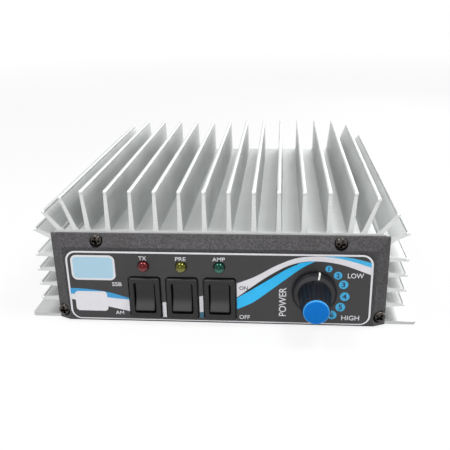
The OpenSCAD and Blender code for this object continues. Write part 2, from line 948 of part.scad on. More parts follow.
module board_spacers() {
  color("#b9b6aa") for (p = board_points) {
    translate([p[0], p[1], board_z + board_t]) difference() {
      cylinder(h = spacer_h, r = spacer_r, $fn = 6);
      translate([0, 0, -1]) cylinder(h = spacer_h + 2, r = hole_r, $fn = 32);
    }
  }
}

module board_screws() {
  color("#b5b2a8") for (p = board_points) {
    translate([p[0], p[1], board_z]) screw_up(board_t + spacer_h + roof_screw_in - 0.5);
  }
}

// ---- power transistors ----

function transistor_screw_points() =
  [for (p = tr_points, side = [-1, 1]) [p[0] + side * tr_hole_x, p[1]]];

module transistor_flanges() {
  color("#c8a24a") for (p = tr_points) {
    translate([p[0], p[1], roof_z - tr_flange_t]) difference() {
      translate([-tr_flange_l / 2, -tr_flange_w / 2, 0]) cube([tr_flange_l, tr_flange_w, tr_flange_t]);
      for (side = [-1, 1]) {
        translate([side * tr_hole_x, 0, -1]) cylinder(h = tr_flange_t + 2, r = hole_r, $fn = 32);
      }
    }
  }
}

module transistor_caps() {
  color("#e6e2d8") for (p = tr_points) {
    translate([p[0] - tr_cap_l / 2, p[1] - tr_flange_w / 2, roof_z - tr_flange_t - tr_cap_t])
      cube([tr_cap_l, tr_flange_w, tr_cap_t]);
  }
}

// Wide leads that lie on the board's component side
module transistor_leads() {
  color("#d0b060") for (p = tr_points, side = [-1, 1]) {
    translate([p[0], p[1] + side * (tr_flange_w + tr_lead_l) / 2, board_z - tr_lead_t / 2])
      cube([tr_lead_w, tr_lead_l, tr_lead_t], center = true);
  }
}

module transistor_screws() {
  color("#b5b2a8") for (p = transistor_screw_points()) {
    translate([p[0], p[1], roof_z - tr_flange_t]) screw_up(tr_flange_t + roof_screw_in - 0.5);
  }
}

// ---- transformers ----

core_xs = [-(core_w + core_gap) / 2, (core_w + core_gap) / 2];
core_mid_z = board_z - core_h / 2;

module output_transformer_cores() {
  color("#4a4744") for (x = core_xs) {
    translate([x, core_y, core_mid_z]) difference() {
      cube([core_w, core_l, core_h], center = true);
      translate([0, core_l / 2 + 1, 0]) rotate([90, 0, 0])
        cylinder(h = core_l + 2, r = tube_r + slip_gap, $fn = 48);
    }
  }
}

module output_transformer_tubes() {
  l = core_l + 2 * end_plate_t + 1;
  color("#b88a3e") for (x = core_xs) {
    translate([x, core_y + l / 2, core_mid_z]) rotate([90, 0, 0]) difference() {
      cylinder(h = l, r = tube_r, $fn = 48);
      translate([0, 0, -1]) cylinder(h = l + 2, r = tube_r - tube_wall, $fn = 48);
    }
  }
}

module output_transformer_plates() {
  w = 2 * core_w + core_gap;
  color("#c08a50") for (side = [-1, 1]) {
    translate([0, core_y + side * (core_l + end_plate_t) / 2, core_mid_z]) difference() {
      cube([w, end_plate_t, core_h], center = true);
      for (x = core_xs) {
        translate([x, 2, 0]) rotate([90, 0, 0]) cylinder(h = 4, r = tube_r + 0.02, $fn = 48);
      }
    }
  }
}

module input_transformer_core() {
  color("#4a4744") translate([0, input_core_y, board_z - input_core[2] / 2]) difference() {
    cube(input_core, center = true);
    for (side = [-1, 1]) {
      translate([side * input_core[0] / 4, input_core[1], 0]) rotate([90, 0, 0])
        cylinder(h = 2 * input_core[1], r = input_hole_r, $fn = 32);
    }
  }
}

// ---- relays and small parts ----

module relay() {
  w = relay_size[0];
  l = relay_size[1];
  h = relay_size[2];
  e = relay_edge;
  translate([0, l / 2, -h]) rotate([90, 0, 0]) linear_extrude(l) polygon([
    [-w / 2, h], [-w / 2, e], [-w / 2 + e, 0], [w / 2 - e, 0], [w / 2, e], [w / 2, h]
  ]);
}

module antenna_relay() {
  color("#1f6fb0") translate([relay_x, relay_y, board_z]) relay();
}

module radio_relay() {
  color("#1f6fb0") translate([-relay_x, relay_y, board_z]) relay();
}

module supply_capacitors() {
  color("#1c1c40") for (p = cap_points) {
    translate([p[0], p[1], board_z - cap_body_h]) rotate_extrude($fn = 48) polygon([
      [0, 0], [cap_body_r - cap_sleeve_r, 0], [cap_body_r, cap_sleeve_r],
      [cap_body_r, cap_body_h - cap_groove_at - cap_groove], [cap_body_r - cap_groove, cap_body_h - cap_groove_at],
      [cap_body_r, cap_body_h - cap_groove_at + cap_groove],
      [cap_body_r, cap_body_h], [0, cap_body_h]
    ]);
  }
}

choke_z = board_z - wire_t - choke_t;

module choke_core() {
  color("#8a8f3a") translate([choke_at[0], choke_at[1], choke_z]) difference() {
    cylinder(h = choke_t, r = choke_out_r, $fn = 64);
    translate([0, 0, -1]) cylinder(h = choke_t + 2, r = choke_in_r, $fn = 64);
  }
}

module choke_winding() {
  w = choke_out_r - choke_in_r;
  color("#b5652a") translate([choke_at[0], choke_at[1], choke_z]) for (i = [0:choke_turns - 1]) {
    rotate([0, 0, i * 360 / choke_turns]) translate([choke_in_r - wire_t, wire_t / 2, 0]) rotate([90, 0, 0])
      linear_extrude(wire_t) difference() {
        translate([0, -wire_t]) square([w + 2 * wire_t, choke_t + 2 * wire_t]);
        translate([wire_t - 0.05, -0.05]) square([w + 0.15, choke_t + 0.1]);
      }
  }
}

module attenuator_resistors() {
  color("#5d8fa8") for (i = [0:resistor_count - 1]) {
    translate([resistor_at[0] + i * resistor_pitch, resistor_at[1], board_z - resistor_lift - resistor_r]) {
      translate([0, resistor_l / 2, 0]) rotate([90, 0, 0]) cylinder(h = resistor_l, r = resistor_r, $fn = 32);
      for (side = [-1, 1]) {
        translate([-0.4, side * (resistor_l / 2 + 1) - 1, -0.4]) cube([0.8, 2, 0.8]);
        translate([-0.4, side * (resistor_l / 2 + 1.6) - 0.4, -0.4])
          cube([0.8, 0.8, resistor_r + resistor_lift + 0.4]);
      }
    }
  }
}

module at_fuses() {
  for (i = [0:fuse_count - 1]) {
    translate([fuse_at[0] + i * fuse_pitch, fuse_at[1], board_z]) children();
  }
}

module fuse_holders() {
  color("#2b2b2d") at_fuses() difference() {
    translate([-fuse_w / 2 - 1, -fuse_l / 2 - 1, -holder_h]) cube([fuse_w + 2, fuse_l + 2, holder_h]);
    for (side = [-1, 1]) {
      translate([-blade_t / 2 - 0.1, side * blade_y - blade_w / 2 - 0.1, -holder_h - 1])
        cube([blade_t + 0.2, blade_w + 0.2, holder_h]);
    }
  }
}

module blade_fuses() {
  color("#d8a520") at_fuses() {
    translate([-fuse_w / 2, -fuse_l / 2, -holder_h - fuse_h]) cube([fuse_w, fuse_l, fuse_h]);
    for (side = [-1, 1]) {
      translate([-blade_t / 2, side * blade_y - blade_w / 2, -holder_h - 1]) cube([blade_t, blade_w, blade_l]);
    }
  }
}

module bias_trimmers() {
  color("#2760a8") for (x = trimmer_xs) {
    translate([x, trimmer_y, board_z - trimmer[2]]) difference() {
      translate([-trimmer[0] / 2, -trimmer[1] / 2, 0]) cube(trimmer);
      translate([0, 0, -eps]) cylinder(h = 0.8, r = 2, $fn = 32);
    }
  }
}

// ---- coaxial sockets ----

// Local frame of a socket: y = 0 on the rear cover's face, the barrel standing outward
module at_socket(x) {
  at_rear() translate([-x, -cover_d, socket_z]) children();
}

module socket_shell() {
  end = flange_t + barrel_l;
  color("#c4c4c0") difference() {
    union() {
      forward(flange_t) polygon(box_outline(flange_w, flange_w, 2));
      turned([
        [0, -tail_l], [tail_r, -tail_l], [tail_r, 1], [barrel_r, 1],
        [barrel_r, end - 0.6], [barrel_r - 0.6, end], [0, end]
      ]);
    }
    rod_y(bore_r, -tail_l - 1, end + 1);
    for (dx = [-flange_hole, flange_hole], dz = [-flange_hole, flange_hole]) {
      translate([dx, 0, dz]) rod_y(hole_r, -1, flange_t + 1);
    }
  }
}

module socket_insulator() {
  end = flange_t + barrel_l;
  color("#efeae0") difference() {
    rod_y(bore_r - 0.02, -tail_l, end - bore_d);
    rod_y(contact_r + 0.02, -tail_l - 1, end);
  }
}

// The centre contact: a tube that takes the plug's pin, with a solder cup behind
module socket_contact() {
  end = flange_t + barrel_l - contact_short;
  color("#d6c070") difference() {
    turned([
      [0, -contact_back], [contact_r - 0.8, -contact_back], [contact_r - 0.8, -tail_l],
      [contact_r, -tail_l], [contact_r, end - 0.4], [contact_r - 0.4, end], [0, end]
    ]);
    rod_y(contact_bore_r, end - contact_bore_d, end + 1);
    translate([0, contact_back + 1, 0]) rod_y(1.2, 0, 4);
  }
}

module antenna_socket_shell() {
  at_socket(antenna_x) socket_shell();
}

module antenna_socket_insulator() {
  at_socket(antenna_x) socket_insulator();
}

module antenna_socket_contact() {
  at_socket(antenna_x) socket_contact();
}

module radio_socket_shell() {
  at_socket(radio_x) socket_shell();
}

module radio_socket_insulator() {
  at_socket(radio_x) socket_insulator();
}

module radio_socket_contact() {
  at_socket(radio_x) socket_contact();
}

module at_socket_screws() {
  for (x = [antenna_x, radio_x], dx = [-flange_hole, flange_hole], dz = [-flange_hole, flange_hole]) {
    at_socket(x) translate([dx, 0, dz]) children();
  }
}

module socket_screws() {
  color("#b8b8b4") at_socket_screws() translate([0, -flange_t, 0]) pan_screw(flange_t + socket_screw_l);
}

module socket_nuts() {
  color("#b8b8b4") at_socket_screws() translate([0, plate_t + nut3_t, 0]) difference() {
    rotate([90, 0, 0]) cylinder(h = nut3_t, d = nut3_af / cos(30), $fn = 6);
    rod_y(hole_r, -1, nut3_t + 1);
  }
}

// A rubber grommet: a lip on each side of the cover's face and a neck between
module cable_grommet() {
  color("#1b1b1c") at_rear() translate([-grommet_x, -cover_d, grommet_z]) turned([
    [grommet_bore_r, -plate_t - grommet_lip_t], [grommet_lip_r - grommet_soft, -plate_t - grommet_lip_t],
    [grommet_lip_r, -plate_t - grommet_lip_t + grommet_soft], [grommet_lip_r, -plate_t],
    [grommet_neck_r, -plate_t], [grommet_neck_r, 0], [grommet_lip_r, 0],
    [grommet_lip_r, grommet_lip_t - grommet_soft], [grommet_lip_r - grommet_soft, grommet_lip_t],
    [grommet_bore_r, grommet_lip_t]
  ]);
}

heatsink();
base_plate();
base_plate_screws();
front_cover();
front_label();
front_cover_screws();
rear_cover();
rear_cover_screws();
mode_switch_body();
preamp_switch_body();
power_switch_body();
mode_rocker();
preamp_rocker();
power_rocker();
switch_terminals();
tx_lamp();
preamp_lamp();
power_lamp();
lamp_leads();
selector_housing();
selector_bushing();
selector_nut();
selector_shaft();
selector_terminals();
power_knob();
knob_collet();
knob_cap();
knob_pointer();
circuit_board();
board_spacers();
board_screws();
transistor_flanges();
transistor_caps();
transistor_leads();
transistor_screws();
output_transformer_cores();
output_transformer_tubes();
output_transformer_plates();
input_transformer_core();
antenna_relay();
radio_relay();
supply_capacitors();
choke_core();
choke_winding();
attenuator_resistors();
fuse_holders();
blade_fuses();
bias_trimmers();
antenna_socket_shell();
antenna_socket_insulator();
antenna_socket_contact();
radio_socket_shell();
radio_socket_insulator();
radio_socket_contact();
socket_screws();
socket_nuts();
cable_grommet();
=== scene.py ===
# HF linear amplifier: the looks of each surface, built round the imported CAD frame.
# Lengths in the dictionaries are millimetres; the frame is in metres, +X right, +Y back, +Z up.
import json
import math

import bpy
import numpy as np
from mathutils import Euler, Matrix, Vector


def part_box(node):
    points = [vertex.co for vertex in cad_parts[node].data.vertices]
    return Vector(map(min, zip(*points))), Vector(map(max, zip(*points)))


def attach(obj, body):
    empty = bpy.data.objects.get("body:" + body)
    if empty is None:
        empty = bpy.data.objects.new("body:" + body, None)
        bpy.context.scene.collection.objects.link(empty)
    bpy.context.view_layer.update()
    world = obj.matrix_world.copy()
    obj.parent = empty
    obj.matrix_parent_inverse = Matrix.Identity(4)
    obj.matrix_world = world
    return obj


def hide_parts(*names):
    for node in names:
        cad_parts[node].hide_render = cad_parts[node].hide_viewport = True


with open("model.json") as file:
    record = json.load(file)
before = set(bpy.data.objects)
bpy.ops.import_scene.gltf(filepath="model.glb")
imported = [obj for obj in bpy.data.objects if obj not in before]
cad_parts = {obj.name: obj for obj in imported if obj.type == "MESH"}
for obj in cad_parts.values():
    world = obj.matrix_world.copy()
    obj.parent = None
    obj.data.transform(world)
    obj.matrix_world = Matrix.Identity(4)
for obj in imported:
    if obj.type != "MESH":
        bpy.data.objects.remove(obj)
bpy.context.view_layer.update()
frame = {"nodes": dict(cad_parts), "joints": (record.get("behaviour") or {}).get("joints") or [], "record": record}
nodes = frame["nodes"]
mm = 0.001
print("frame loaded:", len(nodes), "nodes")


# ---- places that follow the frame ----

# Lowest and highest corner of a CAD node, in millimetres
def nodeBox(node):
    low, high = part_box(node)
    return np.array(low) / mm, np.array(high) / mm


# Middle of a CAD node's box, in millimetres
def nodeMiddle(node):
    low, high = nodeBox(node)
    return (low + high) / 2


labelFace = nodeBox("front_label")[0][1]
switchNames = ["mode", "preamp", "power"]
jointPlace = {j["name"]: np.array(j["pos_m"]) / mm for j in frame["joints"]}
knobPlace = jointPlace["knob_turn"]


# ---- small tools ----

# A #RRGGBB colour as linear light: ((c + 0.055) / 1.055) to the power 2.4 above the dark end
def fromHex(code, alpha=1.0):
    part = np.array([int(code[i:i + 2], 16) / 255 for i in (1, 3, 5)])
    linear = np.where(part <= 0.04045, part / 12.92, ((part + 0.055) / 1.055) ** 2.4)
    return (*linear.tolist(), alpha)


# One node with its settings and its inputs; an input may be a value or another node's output
def addNode(tree, kind, settings=None, inputs=None):
    node = tree.nodes.new(kind)
    for name, value in (settings or {}).items():
        setattr(node, name, value)
    for name, value in (inputs or {}).items():
        if isinstance(value, bpy.types.NodeSocket):
            tree.links.new(value, node.inputs[name])
        else:
            node.inputs[name].default_value = value
    return node


# A material with its Principled shader and the object's own coordinates
def newMaterial(name, **sockets):
    material = bpy.data.materials.new(name)
    material.use_nodes = True
    tree = material.node_tree
    tree.nodes.clear()
    shader = addNode(tree, "ShaderNodeBsdfPrincipled", inputs={
        key.replace("_", " "): value for key, value in sockets.items()})
    out = addNode(tree, "ShaderNodeOutputMaterial")
    tree.links.new(shader.outputs[0], out.inputs["Surface"])
    place = addNode(tree, "ShaderNodeTexCoord").outputs["Object"]
    return material, tree, shader, place


# Noise whose blotches are about sizeMm across
def noiseAt(tree, place, sizeMm, detail=2.0, stretch=(1, 1, 1)):
    if stretch != (1, 1, 1):
        place = addNode(tree, "ShaderNodeMapping", inputs={"Vector": place, "Scale": stretch}).outputs[0]
    return addNode(tree, "ShaderNodeTexNoise", inputs={
        "Vector": place, "Scale": 1 / (sizeMm * mm), "Detail": detail, "Roughness": 0.55}).outputs[0]


# Colour that runs from one hex value to another as a value goes from low to high
def colourBetween(tree, value, dark, light, low=0.3, high=0.7):
    ramp = addNode(tree, "ShaderNodeValToRGB", inputs={"Fac": value})
    for stop, code, at in zip(ramp.color_ramp.elements, (dark, light), (low, high)):
        stop.color = fromHex(code)
        stop.position = at
    return ramp.outputs[0]


# Roughness that wanders between two values
def roughnessBetween(tree, value, low, high):
    return addNode(tree, "ShaderNodeMapRange", inputs={
        "Value": value, "From Min": 0.3, "From Max": 0.7, "To Min": low, "To Max": high}).outputs[0]


# Small relief of depthMm
def reliefFrom(tree, height, depthMm, strength=1.0):
    return addNode(tree, "ShaderNodeBump", inputs={
        "Height": height, "Distance": depthMm * mm, "Strength": strength}).outputs[0]


# Links a finish's colour, roughness and relief to its shader
def dress(tree, shader, colour, rough=None, relief=None):
    for socket, value in (("Base Color", colour), ("Roughness", rough), ("Normal", relief)):
        if value is not None:
            tree.links.new(value, shader.inputs[socket])


# ---- surfaces ----

# Radius of the ring that closes a turned surface at its axis
pole = 0.02


# Quads between neighbouring rows of a grid; wrap closes every row into a ring
def gridQuads(rows, across, wrap=True):
    row, col = np.meshgrid(np.arange(rows - 1), np.arange(across - (0 if wrap else 1)), indexing="ij")
    after = (col + 1) % across
    quads = [row * across + col, row * across + after, (row + 1) * across + after, (row + 1) * across + col]
    return np.stack(quads, -1).reshape(-1, 4)


# Rings (rows, across, 3) joined into one skin, with a flat face over each end
def loftRings(rings):
    rows, across = rings.shape[:2]
    faces = gridQuads(rows, across).tolist()
    faces.append(list(range(across))[::-1])
    faces.append(list(range((rows - 1) * across, rows * across)))
    return rings.reshape(-1, 3), faces


# Rings whose last row meets the first again, so the skin has no ends
def hoopRings(rings):
    rows, across = rings.shape[:2]
    closing = gridQuads(2, across)
    closing = np.where(closing >= across, closing - across, closing + (rows - 1) * across)
    return rings.reshape(-1, 3), gridQuads(rows, across).tolist() + closing.tolist()


# Several skins put together as one list of points and faces
def joinParts(parts):
    points, faces, count = [], [], 0
    for somePoints, someFaces in parts:
        points.append(somePoints)
        faces += [[count + i for i in face] for face in someFaces]
        count += len(somePoints)
    return np.concatenate(points), faces


# A piece in its final place that rides on a body; its faces are turned outwards
def makePiece(name, skin, material, body, replaces=(), smooth=35):
    points, faces = skin
    mesh = bpy.data.meshes.new(name)
    mesh.from_pydata((np.asarray(points, float) * mm).tolist(), [], faces)
    mesh.validate()
    piece = bpy.data.objects.new(name, mesh)
    bpy.context.scene.collection.objects.link(piece)
    bpy.context.view_layer.objects.active = piece
    bpy.ops.object.select_all(action="DESELECT")
    piece.select_set(True)
    bpy.ops.object.mode_set(mode="EDIT")
    bpy.ops.mesh.select_all(action="SELECT")
    bpy.ops.mesh.normals_make_consistent(inside=False)
    bpy.ops.object.mode_set(mode="OBJECT")
    mesh.polygons.foreach_set("use_smooth", np.ones(len(mesh.polygons), bool))
    mesh.set_sharp_from_angle(angle=math.radians(smooth))
    mesh.materials.append(material)
    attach(piece, body)
    if replaces:
        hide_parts(*replaces)
    return piece


# A surface of revolution about an axis along Y: each profile point is [radius, distance forward]
def turnedRings(profile, steps, centre):
    profile = np.asarray(profile, float)
    angle = np.linspace(0, 2 * np.pi, steps, endpoint=False)[None, :]
    radius, ahead = profile[:, :1], profile[:, 1:]
    x = centre[0] + radius * np.sin(angle)
    z = centre[2] + radius * np.cos(angle)
    y = centre[1] - ahead + 0 * angle
    return np.stack([x, y, z], -1)


# Points round a rectangle with rounded corners: a quarter circle at each corner in turn
def roundedBox(w, h, r, perCorner=7):
    quarter = np.radians(np.linspace(0, 90, perCorner)[None, :] + np.arange(4)[:, None] * 90)
    x = (w / 2 - r) * np.array([1, -1, -1, 1])[:, None] + r * np.cos(quarter)
    z = (h / 2 - r) * np.array([1, 1, -1, -1])[:, None] + r * np.sin(quarter)
    return np.stack([x.ravel(), z.ravel()], -1)


# Rounded rectangles (w, h, r, distance forward) as rings that face forward
def boxRings(stations, centre, perCorner=7):
    rings = []
    for w, h, r, ahead in stations:
        x, z = roundedBox(w, h, r, perCorner).T
        rings.append(np.stack([centre[0] + x, np.full(len(x), centre[1] - ahead), centre[2] + z], -1))
    return np.array(rings)


# Points of a smooth line through a few (x, z) points: cubic Hermite pieces, each point's slope
# taken from its neighbours
def smoothLine(points, steps=60):
    p = np.array(points, float)
    slope = np.gradient(p[:, 1], p[:, 0])
    x = np.linspace(p[0, 0], p[-1, 0], steps)
    i = np.clip(np.searchsorted(p[:, 0], x, side="right") - 1, 0, len(p) - 2)
    h = p[i + 1, 0] - p[i, 0]
    u = (x - p[i, 0]) / h
    z = ((2 * u ** 3 - 3 * u ** 2 + 1) * p[i, 1] + (u ** 3 - 2 * u ** 2 + u) * h * slope[i]
         + (3 * u ** 2 - 2 * u ** 3) * p[i + 1, 1] + (u ** 3 - u ** 2) * h * slope[i + 1])
    return np.stack([x, z], -1)


# ---- camera, light and floor ----

view = dict(place=(26.81, -312.5, 138.3), turn=(68.98, 1.28, 5.02), lens=49.88, sensor=36)
camera = bpy.data.objects.new("camera", bpy.data.cameras.new("camera"))
camera.location = Vector(view["place"]) * mm
camera.rotation_euler = Euler([math.radians(a) for a in view["turn"]], "XYZ")
camera.data.lens = view["lens"]
camera.data.sensor_width = view["sensor"]
camera.data.clip_start = 0.01
bpy.context.scene.collection.objects.link(camera)
bpy.context.scene.camera = camera
bpy.context.scene.view_settings.view_transform = "Standard"

studioLights = [
    dict(name="skyLeft", place=(-215, -120, 460), aim=(0, -20, 30), size=150, power=1.36),
    dict(name="skyRight", place=(200, -120, 460), aim=(0, -20, 30), size=150, power=1.65),
    dict(name="leftPanel", place=(-470, 60, 200), aim=(0, 0, 30), size=340, power=0.48),
    dict(name="rightPanel", place=(470, 40, 170), aim=(0, 0, 30), size=340, power=1.15),
    dict(name="backPanel", place=(200, 430, 270), aim=(0, 60, 40), size=300, power=0.95),
    dict(name="frontPanel", place=(-90, -560, 240), aim=(0, -60, 25), size=340, power=0.58),
]
for one in studioLights:
    light = bpy.data.lights.new(one["name"], "AREA")
    light.shape = "SQUARE"
    light.size = one["size"] * mm
    light.energy = one["power"]
    lampObject = bpy.data.objects.new(one["name"], light)
    lampObject.location = Vector(one["place"]) * mm
    aim = Vector(one["aim"]) * mm - lampObject.location
    lampObject.rotation_euler = aim.to_track_quat("-Z", "Y").to_euler()
    bpy.context.scene.collection.objects.link(lampObject)


# 1 for rays from the camera and for those that metal or clear plastic sends on, otherwise 0
def seenRays(tree):
    rays = addNode(tree, "ShaderNodeLightPath").outputs
    seen = rays["Is Camera Ray"]
    for kind in ("Is Glossy Ray", "Is Transmission Ray"):
        seen = addNode(tree, "ShaderNodeMath", {"operation": "MAXIMUM"}, {0: seen, 1: rays[kind]}).outputs[0]
    return seen


# The walls' own light, and a floor whose glow rises from nearShare to full between two distances
studioShape = dict(walls=0.38, floorHalf=6000, floorBelow=0.02, fadeFrom=260, fadeTo=1100, nearShare=0.85)

# The world lights the object as pale grey studio walls; the camera and the metal see it as white
world = bpy.data.worlds.new("studio")
world.use_nodes = True
sky = world.node_tree
sky.nodes.clear()
walls = addNode(sky, "ShaderNodeBackground", inputs={
    "Color": fromHex("#FFFFFF"), "Strength": studioShape["walls"]})
white = addNode(sky, "ShaderNodeBackground", inputs={"Color": fromHex("#FFFFFF"), "Strength": 1.0})
seen = addNode(sky, "ShaderNodeMixShader", inputs={
    0: seenRays(sky), 1: walls.outputs[0], 2: white.outputs[0]})
addNode(sky, "ShaderNodeOutputWorld", inputs={"Surface": seen.outputs[0]})
bpy.context.scene.world = world

half = studioShape["floorHalf"] * mm
floorMesh = bpy.data.meshes.new("floor")
floorMesh.from_pydata([(-half, -half, 0), (half, -half, 0), (half, half, 0), (-half, half, 0)],
                      [], [(0, 1, 2, 3)])
floor = bpy.data.objects.new("floor", floorMesh)
floor.location.z = -studioShape["floorBelow"] * mm
bpy.context.scene.collection.objects.link(floor)
# White paper that keeps the contact shadow near the object and runs into the white backdrop far off
paper, paperTree, paperShader, paperPlace = newMaterial(
    "whitePaperFloor", Base_Color=fromHex("#D2D2D2"), Roughness=0.8, Specular_IOR_Level=0.1)
glow = addNode(paperTree, "ShaderNodeEmission", inputs={"Color": fromHex("#FFFFFF"), "Strength": 1.0})
away = addNode(paperTree, "ShaderNodeVectorMath", {"operation": "LENGTH"}, {0: paperPlace})
fade = addNode(paperTree, "ShaderNodeMapRange", inputs={
    "Value": away.outputs["Value"], "From Min": studioShape["fadeFrom"] * mm,
    "From Max": studioShape["fadeTo"] * mm, "To Min": studioShape["nearShare"], "To Max": 1.0})
share = addNode(paperTree, "ShaderNodeMath", {"operation": "MULTIPLY"}, {
    0: seenRays(paperTree), 1: fade.outputs[0]})
both = addNode(paperTree, "ShaderNodeMixShader", inputs={
    0: share.outputs[0], 1: paperShader.outputs[0], 2: glow.outputs[0]})
paperOut = [n for n in paperTree.nodes if n.type == "OUTPUT_MATERIAL"][0]
paperTree.links.new(both.outputs[0], paperOut.inputs["Surface"])
floor.data.materials.append(paper)
print("camera, lights and floor made")


# ---- materials of the case ----

# Etched and clear-anodised extruded aluminium: a soft pale grey with faint lines along the
# die's direction, cloudy patches from etching, and brighter sawn ends
def extrudedAluminium():
    material, tree, shader, place = newMaterial("etchedExtrudedAluminium", Metallic=1.0)
    clouds = noiseAt(tree, place, 22, 3)
    dieLines = noiseAt(tree, place, 0.9, 3, (1, 0.012, 1))
    grit = noiseAt(tree, place, 0.35, 2)
    tone = addNode(tree, "ShaderNodeMix", {"data_type": "FLOAT"}, {0: 0.35, 2: clouds, 3: dieLines})
    side = colourBetween(tree, tone.outputs[0], "#BEC0BF", "#CDCFCE")
    # The sawn ends face along Y and are brighter, with fine saw lines across
    normal = addNode(tree, "ShaderNodeNewGeometry").outputs["Normal"]
    parts = addNode(tree, "ShaderNodeSeparateXYZ", inputs={0: normal})
    along = addNode(tree, "ShaderNodeMath", {"operation": "ABSOLUTE"}, {0: parts.outputs["Y"]})
    ends = addNode(tree, "ShaderNodeMapRange", inputs={
        "Value": along.outputs[0], "From Min": 0.6, "From Max": 0.9})
    sawn = noiseAt(tree, place, 0.5, 2, (0.08, 1, 1))
    endTone = colourBetween(tree, sawn, "#CCCECD", "#D8D9D8")
    colour = addNode(tree, "ShaderNodeMix", {"data_type": "RGBA"}, {0: ends.outputs[0], 6: side, 7: endTone})
    height = addNode(tree, "ShaderNodeMix", {"data_type": "FLOAT"}, {0: 0.4, 2: dieLines, 3: grit})
    dress(tree, shader, colour.outputs[2], roughnessBetween(tree, clouds, 0.54, 0.64),
          reliefFrom(tree, height.outputs[0], 0.012, 0.4))
    return material


# Rolled aluminium sheet: fine brushed lines across, and patches that handling has dulled
def brushedSheet():
    material, tree, shader, place = newMaterial("brushedAluminiumSheet", Metallic=1.0)
    lines = noiseAt(tree, place, 0.4, 4, (0.01, 1, 1))
    clouds = noiseAt(tree, place, 30, 3)
    dress(tree, shader, colourBetween(tree, lines, "#B4B6B5", "#C6C8C7"),
          roughnessBetween(tree, clouds, 0.36, 0.46), reliefFrom(tree, lines, 0.01, 0.4))
    return material


# Black moulded ABS with a spark-eroded grain: small bright speckles on near-black. The real grain
# is near 0.3 mm and is drawn as coarse as it needs to show
def grainedAbs():
    material, tree, shader, place = newMaterial("grainedBlackAbs", Metallic=0.0, IOR=1.5)
    grain = noiseAt(tree, place, 0.75, 3)
    wide = noiseAt(tree, place, 14, 2)
    dark = colourBetween(tree, grain, "#171617", "#4A474B", 0.36, 0.7)
    tint = colourBetween(tree, wide, "#FFFFFF", "#E9E6E4")
    colour = addNode(tree, "ShaderNodeMix", {"data_type": "RGBA", "blend_type": "MULTIPLY"},
                     {0: 1.0, 6: dark, 7: tint})
    highlightBand = addNode(tree, "ShaderNodeMix", {"data_type": "FLOAT"}, {0: 0.7, 2: grain, 3: wide})
    dress(tree, shader, colour.outputs[2], roughnessBetween(tree, highlightBand.outputs[0], 0.27, 0.58),
          reliefFrom(tree, grain, 0.08, 0.9))
    return material


# Printed polycarbonate sheet: smooth charcoal ink under a satin skin
def printedSheet():
    material, tree, shader, place = newMaterial("charcoalPrintedPolycarbonate", IOR=1.58)
    cloud = noiseAt(tree, place, 6, 2)
    dress(tree, shader, colourBetween(tree, cloud, "#1E1D1F", "#232224"),
          roughnessBetween(tree, noiseAt(tree, place, 0.5, 2), 0.38, 0.46),
          reliefFrom(tree, noiseAt(tree, place, 0.3, 2), 0.008, 0.5))
    return material


# Screen-printing ink: flat and even, with the faint weave of the screen
def screenInk(name, dark, light):
    material, tree, shader, place = newMaterial(name, IOR=1.5)
    weave = noiseAt(tree, place, 0.25, 1)
    dress(tree, shader, colourBetween(tree, weave, dark, light), roughnessBetween(tree, weave, 0.4, 0.5))
    return material


# Moulded plastics, plated parts and the hidden pieces: two tones, a grain size and a relief each
def plainFinish(name, dark, light, rough, metal=0.0, grain=0.5, relief=0.01, stretch=(1, 1, 1), **more):
    material, tree, shader, place = newMaterial(name, Metallic=metal, **more)
    pattern = noiseAt(tree, place, grain, 3, stretch)
    dress(tree, shader, colourBetween(tree, pattern, dark, light),
          roughnessBetween(tree, pattern, rough - 0.04, rough + 0.05), reliefFrom(tree, pattern, relief, 0.5))
    return material


# Tinted epoxy of an unlit lamp: glossy, and dark where one looks into it; low on the dome and away
# from its foot the base colour is painted paler: a painted glow for light that falls through and gathers there
def tintedEpoxy(name, deep, paintedGlow, gloss):
    material, tree, shader, place = newMaterial(
        name, Roughness=0.05, IOR=1.5, Specular_IOR_Level=1.0, Specular_Tint=fromHex(gloss), Coat_Weight=0.2)
    middle, front = nodeMiddle("tx_lamp")[2], nodeBox("tx_lamp")[0][1]
    parts = addNode(tree, "ShaderNodeSeparateXYZ", inputs={0: place}).outputs
    low = addNode(tree, "ShaderNodeMapRange", inputs={
        "Value": parts["Z"], "From Min": (middle + 0.5) * mm, "From Max": (middle - 0.5) * mm})
    ahead = addNode(tree, "ShaderNodeMapRange", inputs={
        "Value": parts["Y"], "From Min": (front + 1.7) * mm, "From Max": (front + 0.7) * mm})
    # Painted glow: the lens is paler low on the dome and towards its nose
    paintedGlowMask = addNode(tree, "ShaderNodeMath", {"operation": "MULTIPLY"}, {
        0: low.outputs[0], 1: ahead.outputs[0]})
    dress(tree, shader, colourBetween(tree, paintedGlowMask.outputs[0], deep, paintedGlow, 0.0, 1.0))
    return material


